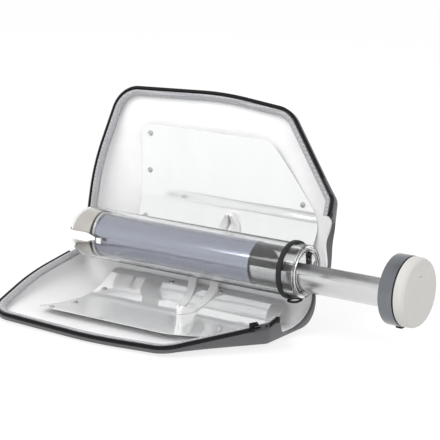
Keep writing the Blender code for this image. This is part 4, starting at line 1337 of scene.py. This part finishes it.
@dataclass
class VacuumTube:
    """The two glasses, the coat and film between them, and the tube's fittings."""

    fold: FoldFrame
    bench: Workbench
    steps: int = 96
    glass: float = 0.0018
    vacuum: float = 0.0037
    inner_glass: float = 0.0015
    flare: float = 0.0009
    gap: float = 0.0003
    chamfer: float = 0.001
    lip_round: float = 0.6
    mouth_lead: tuple[tuple[float, float], ...] = ((0.0, 0.0007), (0.0005, 0.0002))
    dome_steps: int = 20
    dome_x: float = -0.274
    dome_depth: float = 0.021
    dome_space: float = 0.0172
    inner_depth: float = 0.018
    coat: float = 0.0003
    coat_end: float = -0.043
    film_length: float = 0.018
    ring_width: float = 0.006
    ring_rise: float = 0.0024
    loop_cord: float = 0.0013
    loop_size: tuple[float, float] = (0.014, 0.020)
    loop_x: float = 0.003

    @property
    def radius(self) -> float:
        """The outer glass's radius."""
        return self.fold.tube_radius

    @property
    def absorber(self) -> float:
        """The inner glass's outer radius."""
        return self.radius - self.glass - self.vacuum

    @property
    def inner_x(self) -> float:
        """Where the inner glass's dome meets its cylinder."""
        return self.dome_x - self.dome_depth + self.glass + self.dome_space + self.inner_depth

    def dome(self, base: float, depth: float, radius: float) -> Section:
        """A closed end's profile, from its pole to its full radius."""
        turns = [math.pi / 2 * k / self.dome_steps for k in range(self.dome_steps + 1)]
        return [(base - depth * math.cos(t), radius * math.sin(t)) for t in turns]

    def outer_profile(self) -> Section:
        """Draws the outer glass, its lip turned in at the mouth.

        Returns:
            The profile.
        """
        mouth = self.fold.mouth_x
        inside = self.radius - self.glass
        lip = self.absorber + self.flare + self.gap
        bend = (self.radius - lip) * self.lip_round
        back = mouth - self.glass
        profile = self.dome(self.dome_x, self.dome_depth, self.radius)
        profile += Forms.arc((mouth - bend, self.radius - bend), bend, math.pi / 2, 0, 8)
        profile += [(mouth, lip), (back, lip), (back, inside - self.chamfer), (back - self.chamfer, inside)]
        return profile + self.dome(self.dome_x, self.dome_depth - self.glass, inside)[::-1]

    def inner_profile(self) -> Section:
        """Draws the inner glass, its mouth flared to the lip.

        Returns:
            The profile.
        """
        mouth = self.fold.mouth_x
        inside, flared = self.absorber - self.inner_glass, self.absorber + self.flare
        back = mouth - self.glass
        profile = self.dome(self.inner_x, self.inner_depth, self.absorber)
        profile += [(back - self.chamfer, self.absorber), (back, flared), (mouth, flared)]
        profile += [(mouth - back_off, inside + rise) for back_off, rise in self.mouth_lead]
        profile.append((mouth - self.chamfer, inside))
        return profile + self.dome(self.inner_x, self.inner_depth - self.inner_glass, inside)[::-1]

    def sleeve(self, base: float, depth: float, inner: float, end: float) -> Section:
        """Draws a thin closed-end sleeve, open towards the mouth.

        Args:
            base: where its dome begins.
            depth: how deep the dome is inside.
            inner: its inner radius.
            end: where it ends.

        Returns:
            The profile.
        """
        outside = self.dome(base, depth + self.coat, inner + self.coat)
        inside = self.dome(base, depth, inner)[::-1]
        return outside + [(end, inner + self.coat), (end, inner)] + inside

    def loop(self) -> BMesh:
        """Makes the elastic cord loop under the ring.

        Returns:
            The loop, in the tube's frame.
        """
        length, width = self.loop_size
        end = length / 2 - self.loop_cord
        reach = width / 2 - length / 2
        route = [(x, y + reach) for x, y in Forms.arc((0.0, 0.0), end, 0, math.pi, 16)]
        route += [(x, y - reach) for x, y in Forms.arc((0.0, 0.0), -end, 0, math.pi, 16)]
        height = -(self.radius + self.ring_rise + self.loop_cord + 2 * self.gap)
        turns = [math.tau * k / 12 for k in range(12)]
        rings = []
        for i, (x, y) in enumerate(route):
            run = (Vector(route[(i + 1) % len(route)]) - Vector(route[i - 1])).normalized()
            here = Vector((x + self.loop_x, y, height))
            spokes = [Vector((run.y * math.cos(t), -run.x * math.cos(t), math.sin(t))) for t in turns]
            rings.append([here + spoke * self.loop_cord for spoke in spokes])
        return Forms.loft(rings, ends=False)

    def build(self) -> None:
        """Builds and dresses the tube."""
        add = partial(self.bench.piece, body=Body.TUBE, place=self.fold.on_tube())
        coat = self.sleeve(self.inner_x, self.inner_depth + self.gap, self.absorber + self.gap, self.coat_end)
        skin = self.glass + self.gap + self.coat
        end = self.dome_x + self.film_length
        film = self.sleeve(self.dome_x, self.dome_depth - skin, self.radius - skin, end)
        half, base = self.ring_width / 2, self.radius + self.gap
        top = base + self.ring_rise
        ring = [(-half, base, 0.0004), (half, base, 0.0004), (half, top, 0.0011), (-half, top, 0.0011)]
        for name, profile, slot, node in (
            ("outer_tube", self.outer_profile(), "clear_glass", "outer_glass"),
            ("inner_tube", self.inner_profile(), "clear_glass", "inner_glass"),
            ("absorbing_coat", coat, "absorber_coating", "absorber_coating"),
            ("silver_film", film, "getter_film", "getter_film"),
            ("silicone_ring", Forms.fillet(ring, 5), "black_silicone", "mouth_ring"),
        ):
            add(name, Forms.turned(profile, self.steps), slot, nodes=[node])
        add("cord_loop", self.loop(), "black_silicone", nodes=["elastic_loop"])
        self.bench.keep("bright_steel", "support_spring")
        self.bench.keep("cream_strap", "end_strap", bevel=0.0002)
        self.bench.keep("fin_white", "strap_keeper", bevel=0.0004)
        self.bench.keep("pale_silicone", "left_saddle", "right_saddle", bevel=0.0003)


@dataclass
class TrayAndCap:
    """The half-round tray with its plug, and the cap that closes the mouth."""

    tube: VacuumTube
    bench: Workbench
    drawn_out: float = 0.112
    clearance: float = 0.0006
    wall: float = 0.0006
    length: float = 0.254
    rise: float = math.radians(6)
    lip: float = 0.0011
    cap_margin: float = 0.0082
    ring_wall: float = 0.0016
    ring_length: float = 0.016
    skirt: float = 0.0055
    gasket: float = 0.0008
    gasket_inset: float = 0.0006
    disc_wall: float = 0.002
    disc_proud: float = 0.0122
    bevel_depth: float = 0.0066
    bevel_width: float = 0.0034
    disc_inset: float = 0.0004
    crown: float = 0.0006
    crown_curve: tuple[tuple[float, float], ...] = ((1.0, 0.0), (0.9, 0.35), (0.5, 0.65))
    setback: float = 0.001
    vent: Size = (-0.002, 0.018, 0.0010)
    steps: int = 112
    columns: int = 24

    @property
    def cap_radius(self) -> float:
        """The cap's outer radius."""
        return self.tube.radius + self.cap_margin

    @property
    def place(self) -> Matrix:
        """The matrix from the tray's frame to the row frame."""
        return self.tube.fold.on_tube(self.drawn_out)

    def trough(self) -> BMesh:
        """Makes the tray: a half-round sheet whose edges are rolled in.

        Returns:
            The tray, in its own frame.
        """
        outer = self.tube.absorber - self.tube.inner_glass - self.clearance
        inner = outer - self.wall
        lift = math.sin(self.rise) * inner
        reach = math.cos(self.rise) * inner - self.lip
        outside = Forms.arc((0, 0), outer, math.pi - self.rise, math.tau + self.rise, self.steps // 2)
        inside = Forms.arc((0, 0), inner, math.tau + self.rise, math.pi - self.rise, self.steps // 2)
        edge, top = math.cos(self.rise) * outer, lift + self.wall
        roll = [(edge - 0.00005, top - 0.0002), (edge - 0.0003, top), (reach, top), (reach, lift)]
        outline = outside[1:-1] + roll + inside + [(-y, z) for y, z in reversed(roll)]
        mouth, columns = self.tube.fold.mouth_x, self.columns
        stations = [mouth - self.length * k / columns for k in range(columns + 1)]
        return Forms.loft([[Vector((x, y, z)) for y, z in outline] for x in stations])

    @property
    def ring_end(self) -> float:
        """Where the steel ring ends in front."""
        return self.tube.fold.mouth_x - self.skirt + self.ring_length

    def ring_profile(self) -> Section:
        """Draws the steel ring with its edges rolled.

        Returns:
            The profile.
        """
        start, end = self.ring_end - self.ring_length, self.ring_end
        outer = self.cap_radius
        inner = outer - self.ring_wall
        corners = [(start, inner, 0.0), (start, outer, 0.0007), (end, outer, 0.0005), (end, inner, 0.0)]
        return Forms.fillet(corners, 4)

    def body_profile(self) -> Section:
        """Draws the pale body: a skirt inside the ring, a proud wall and a rounded face.

        Returns:
            The profile.
        """
        seal = self.tube.fold.mouth_x + self.tube.gap + self.setback
        shoulder = self.ring_end + self.gasket + 2 * self.tube.gap
        face = shoulder + self.disc_proud
        rim = self.cap_radius - self.disc_inset
        body = self.cap_radius - self.ring_wall - self.tube.gap
        hollow, bottom = body - self.disc_wall, face - self.disc_wall
        profile = [(face + self.crown * rise, rim * share) for rise, share in self.crown_curve]
        profile.append((face + 0.0001, rim - self.bevel_width - 0.0016))
        for turn in (math.pi / 2 * k / 12 for k in range(13)):
            x = face - self.bevel_depth * (1 - math.cos(turn))
            profile.append((x, rim - self.bevel_width * (1 - math.sin(turn))))
        profile += [(shoulder + 0.0004, rim), (shoulder, rim - 0.0004), (shoulder, body), (seal, body)]
        return profile + [(seal, hollow), (bottom, hollow), (bottom, 0.0)]

    def build(self) -> None:
        """Builds and dresses the tray and the cap."""
        add = partial(self.bench.piece, body=Body.TRAY, place=self.place)
        add("rolled_tray", self.trough(), "tray_steel", nodes=["cooking_tray"])
        start = self.ring_end + self.tube.gap
        end = start + self.gasket
        inner, outer = self.cap_radius - self.ring_wall, self.cap_radius - self.gasket_inset
        gasket = [(start, inner, 0.0), (start, outer, 0.0003), (end, outer, 0.0003), (end, inner, 0.0)]
        for name, profile, slot, node in (
            ("turned_ring", self.ring_profile(), "cap_steel", "cap_ring"),
            ("ring_gasket", Forms.fillet(gasket, 3), "black_silicone", "cap_gasket"),
            ("cap_face", self.body_profile(), "cap_cream", "cap_body"),
        ):
            cap = add(name, Forms.turned(profile, self.steps), slot, nodes=[node])
        y, z, radius = self.vent
        hole = Forms.arc((y, z), radius, 0, math.tau, 24)[:-1]
        drill = Forms.loft([[Vector((x, b, c)) for b, c in hole] for x in (end + 0.004, end + 0.03)])
        bmesh.ops.transform(drill, matrix=self.place, verts=drill.verts)
        self.bench.carve(cap, drill)
        self.bench.keep("tray_steel", "tray_end_plate")
        self.bench.keep("plug_grey", "cap_plug", bevel=0.0003)
        self.bench.keep("black_silicone", "mouth_seal", "cap_tab")
        self.bench.keep("bright_steel", "cap_screw_1", "cap_screw_2")


@dataclass(frozen=True)
class PhotoCamera:
    """The camera that was fitted to the photograph, aimed by the tube's mouth."""

    azimuth: float = math.radians(34.25)
    elevation: float = math.radians(12.98)
    roll: float = math.radians(1.28)
    distance: float = 1.903
    focal: float = 1785.0
    aim_px: tuple[float, float] = (293.5, 269.5)
    picture: float = 440.0
    sensor: float = 36.0
    clip_start: float = 0.05

    def make(self, target: Vector) -> None:
        """Makes the scene's camera.

        Args:
            target: the row-frame point that lies under aim_px.
        """
        az, el = self.azimuth, self.elevation
        back = Vector((math.sin(az) * math.cos(el), -math.cos(az) * math.cos(el), math.sin(el)))
        right = Vector((math.cos(az), math.sin(az), 0.0))
        up = back.cross(right)
        level = right * math.cos(self.roll) + up * math.sin(self.roll)
        above = up * math.cos(self.roll) - right * math.sin(self.roll)
        scale = self.distance / self.focal
        side, drop = (value - self.picture / 2 for value in self.aim_px)
        spot = target - level * (side * scale) + above * (drop * scale) + back * self.distance
        data = bpy.data.cameras.new("photo_camera")
        data.sensor_width = self.sensor
        data.lens = self.focal / self.picture * self.sensor
        data.clip_start = self.clip_start
        camera = show("photo_camera", data)
        axes = Matrix((level, above, back)).transposed().to_4x4()
        camera.matrix_world = Matrix.Translation(spot) @ axes
        bpy.context.scene.camera = camera


@dataclass
class Studio:
    """The plain pale studio: floor, world and soft lamps."""

    world_light: float = 0.90
    ceiling: tuple[tuple[float, float], ...] = ((0.0, 1.0), (1.0, 0.8), (0.6, 1.0), (0.88, 0.92), (0.96, 0.6))
    floor_size: float = 4.0
    floor_gap: float = 0.0006
    floor_white: float = 0.80
    floor_glow: float = 0.80
    floor_shade: float = 0.22
    lamps: tuple[tuple[str, Size, float, float], ...] = (
        ("key_softbox", (-0.5, -1.2, 1.5), 1.2, 19.0),
        ("side_softbox", (1.5, -0.9, 0.8), 0.7, 5.0),
        ("back_softbox", (0.1, 1.3, 1.3), 1.0, 4.0),
    )

    def make_world(self) -> None:
        """A world that is white at the horizon and a little greyer overhead."""
        world = bpy.data.worlds.new("studio_world")
        world.use_nodes = True
        bpy.context.scene.world = world
        board = NodeBoard(world.node_tree)
        background = board.tree.nodes["Background"].inputs
        ramp = board.node("ValToRGB")
        stops = ramp.color_ramp.elements
        for place, _ in self.ceiling[2:]:
            stops.new(place)
        for stop, (place, grey) in zip(stops, sorted(self.ceiling)):
            stop.position = place
            stop.color = (grey, grey, grey, 1.0)
        parts = board.node("SeparateXYZ")
        board.link(board.node("TexCoord").outputs["Generated"], parts.inputs["Vector"])
        board.link(parts.outputs["Z"], ramp.inputs["Fac"])
        board.link(ramp.outputs["Color"], background["Color"])
        board.link(board.spread(board.seen(), self.world_light, 1.0), background["Strength"])

    def make_floor(self) -> None:
        """A white floor that keeps a soft shadow."""
        bm = bmesh.new()
        bmesh.ops.create_grid(bm, x_segments=8, y_segments=8, size=self.floor_size)
        floor = stand_up("studio_floor", bm)
        floor.location.z = -self.floor_gap
        material = bpy.data.materials.new("floor_white")
        material.use_nodes = True
        board = NodeBoard(material.node_tree)
        board.tree.nodes.remove(board.tree.nodes["Principled BSDF"])
        matte, both = board.node("BsdfDiffuse"), board.node("AddShader")
        pale, dark = ((grey, grey, grey, 1.0) for grey in (self.floor_white, self.floor_shade))
        shade = board.node("Mix", data_type="RGBA", A=pale, B=dark)
        glow = board.node("Emission", Color=(1.0, 1.0, 1.0, 1.0))
        seen = board.seen()
        for source, target in (
            (seen, shade.inputs["Factor"]),
            (shade.outputs["Result"], matte.inputs["Color"]),
            (board.combine("MULTIPLY", seen, self.floor_glow), glow.inputs["Strength"]),
            (matte.outputs["BSDF"], both.inputs[0]),
            (glow.outputs["Emission"], both.inputs[1]),
            (both.outputs["Shader"], board.tree.nodes["Material Output"].inputs["Surface"]),
        ):
            board.link(source, target)
        floor.data.materials.append(material)

    def make_lamps(self, aim: Vector) -> None:
        """The soft lamps, each turned to the object.

        Args:
            aim: the point that they face.
        """
        for name, place, size, power in self.lamps:
            data = bpy.data.lights.new(name, "AREA")
            data.size = size
            data.energy = power
            lamp = show(name, data)
            lamp.location = place
            lamp.rotation_euler = (aim - Vector(place)).to_track_quat("-Z", "Y").to_euler()
            lamp.visible_glossy = False

    def make(self, aim: Vector) -> None:
        """Makes the whole studio.

        Args:
            aim: the point that the lamps face.
        """
        self.make_world()
        self.make_floor()
        self.make_lamps(aim)
        bpy.context.scene.view_settings.view_transform = "Standard"


def main() -> None:
    """Builds every sub-assembly, the studio and the camera."""
    logging.basicConfig(level=logging.INFO, format="%(name)s %(message)s", stream=sys.stdout)
    fold = FoldFrame()
    PhotoCamera().make(fold.tube)
    bench = Workbench(FinishRack())
    for half in Half:
        CaseHalf(half, fold, bench).build()
    Fold(fold, bench).build()
    tube = VacuumTube(fold, bench)
    tube.build()
    TrayAndCap(tube, bench).build()
    low, high = (Vector(corner) for corner in CAD_BOX)
    Studio().make((low + high) / 2)
    LOG.info("%d pieces", bench.count)


if __name__ == "__main__":
    main()
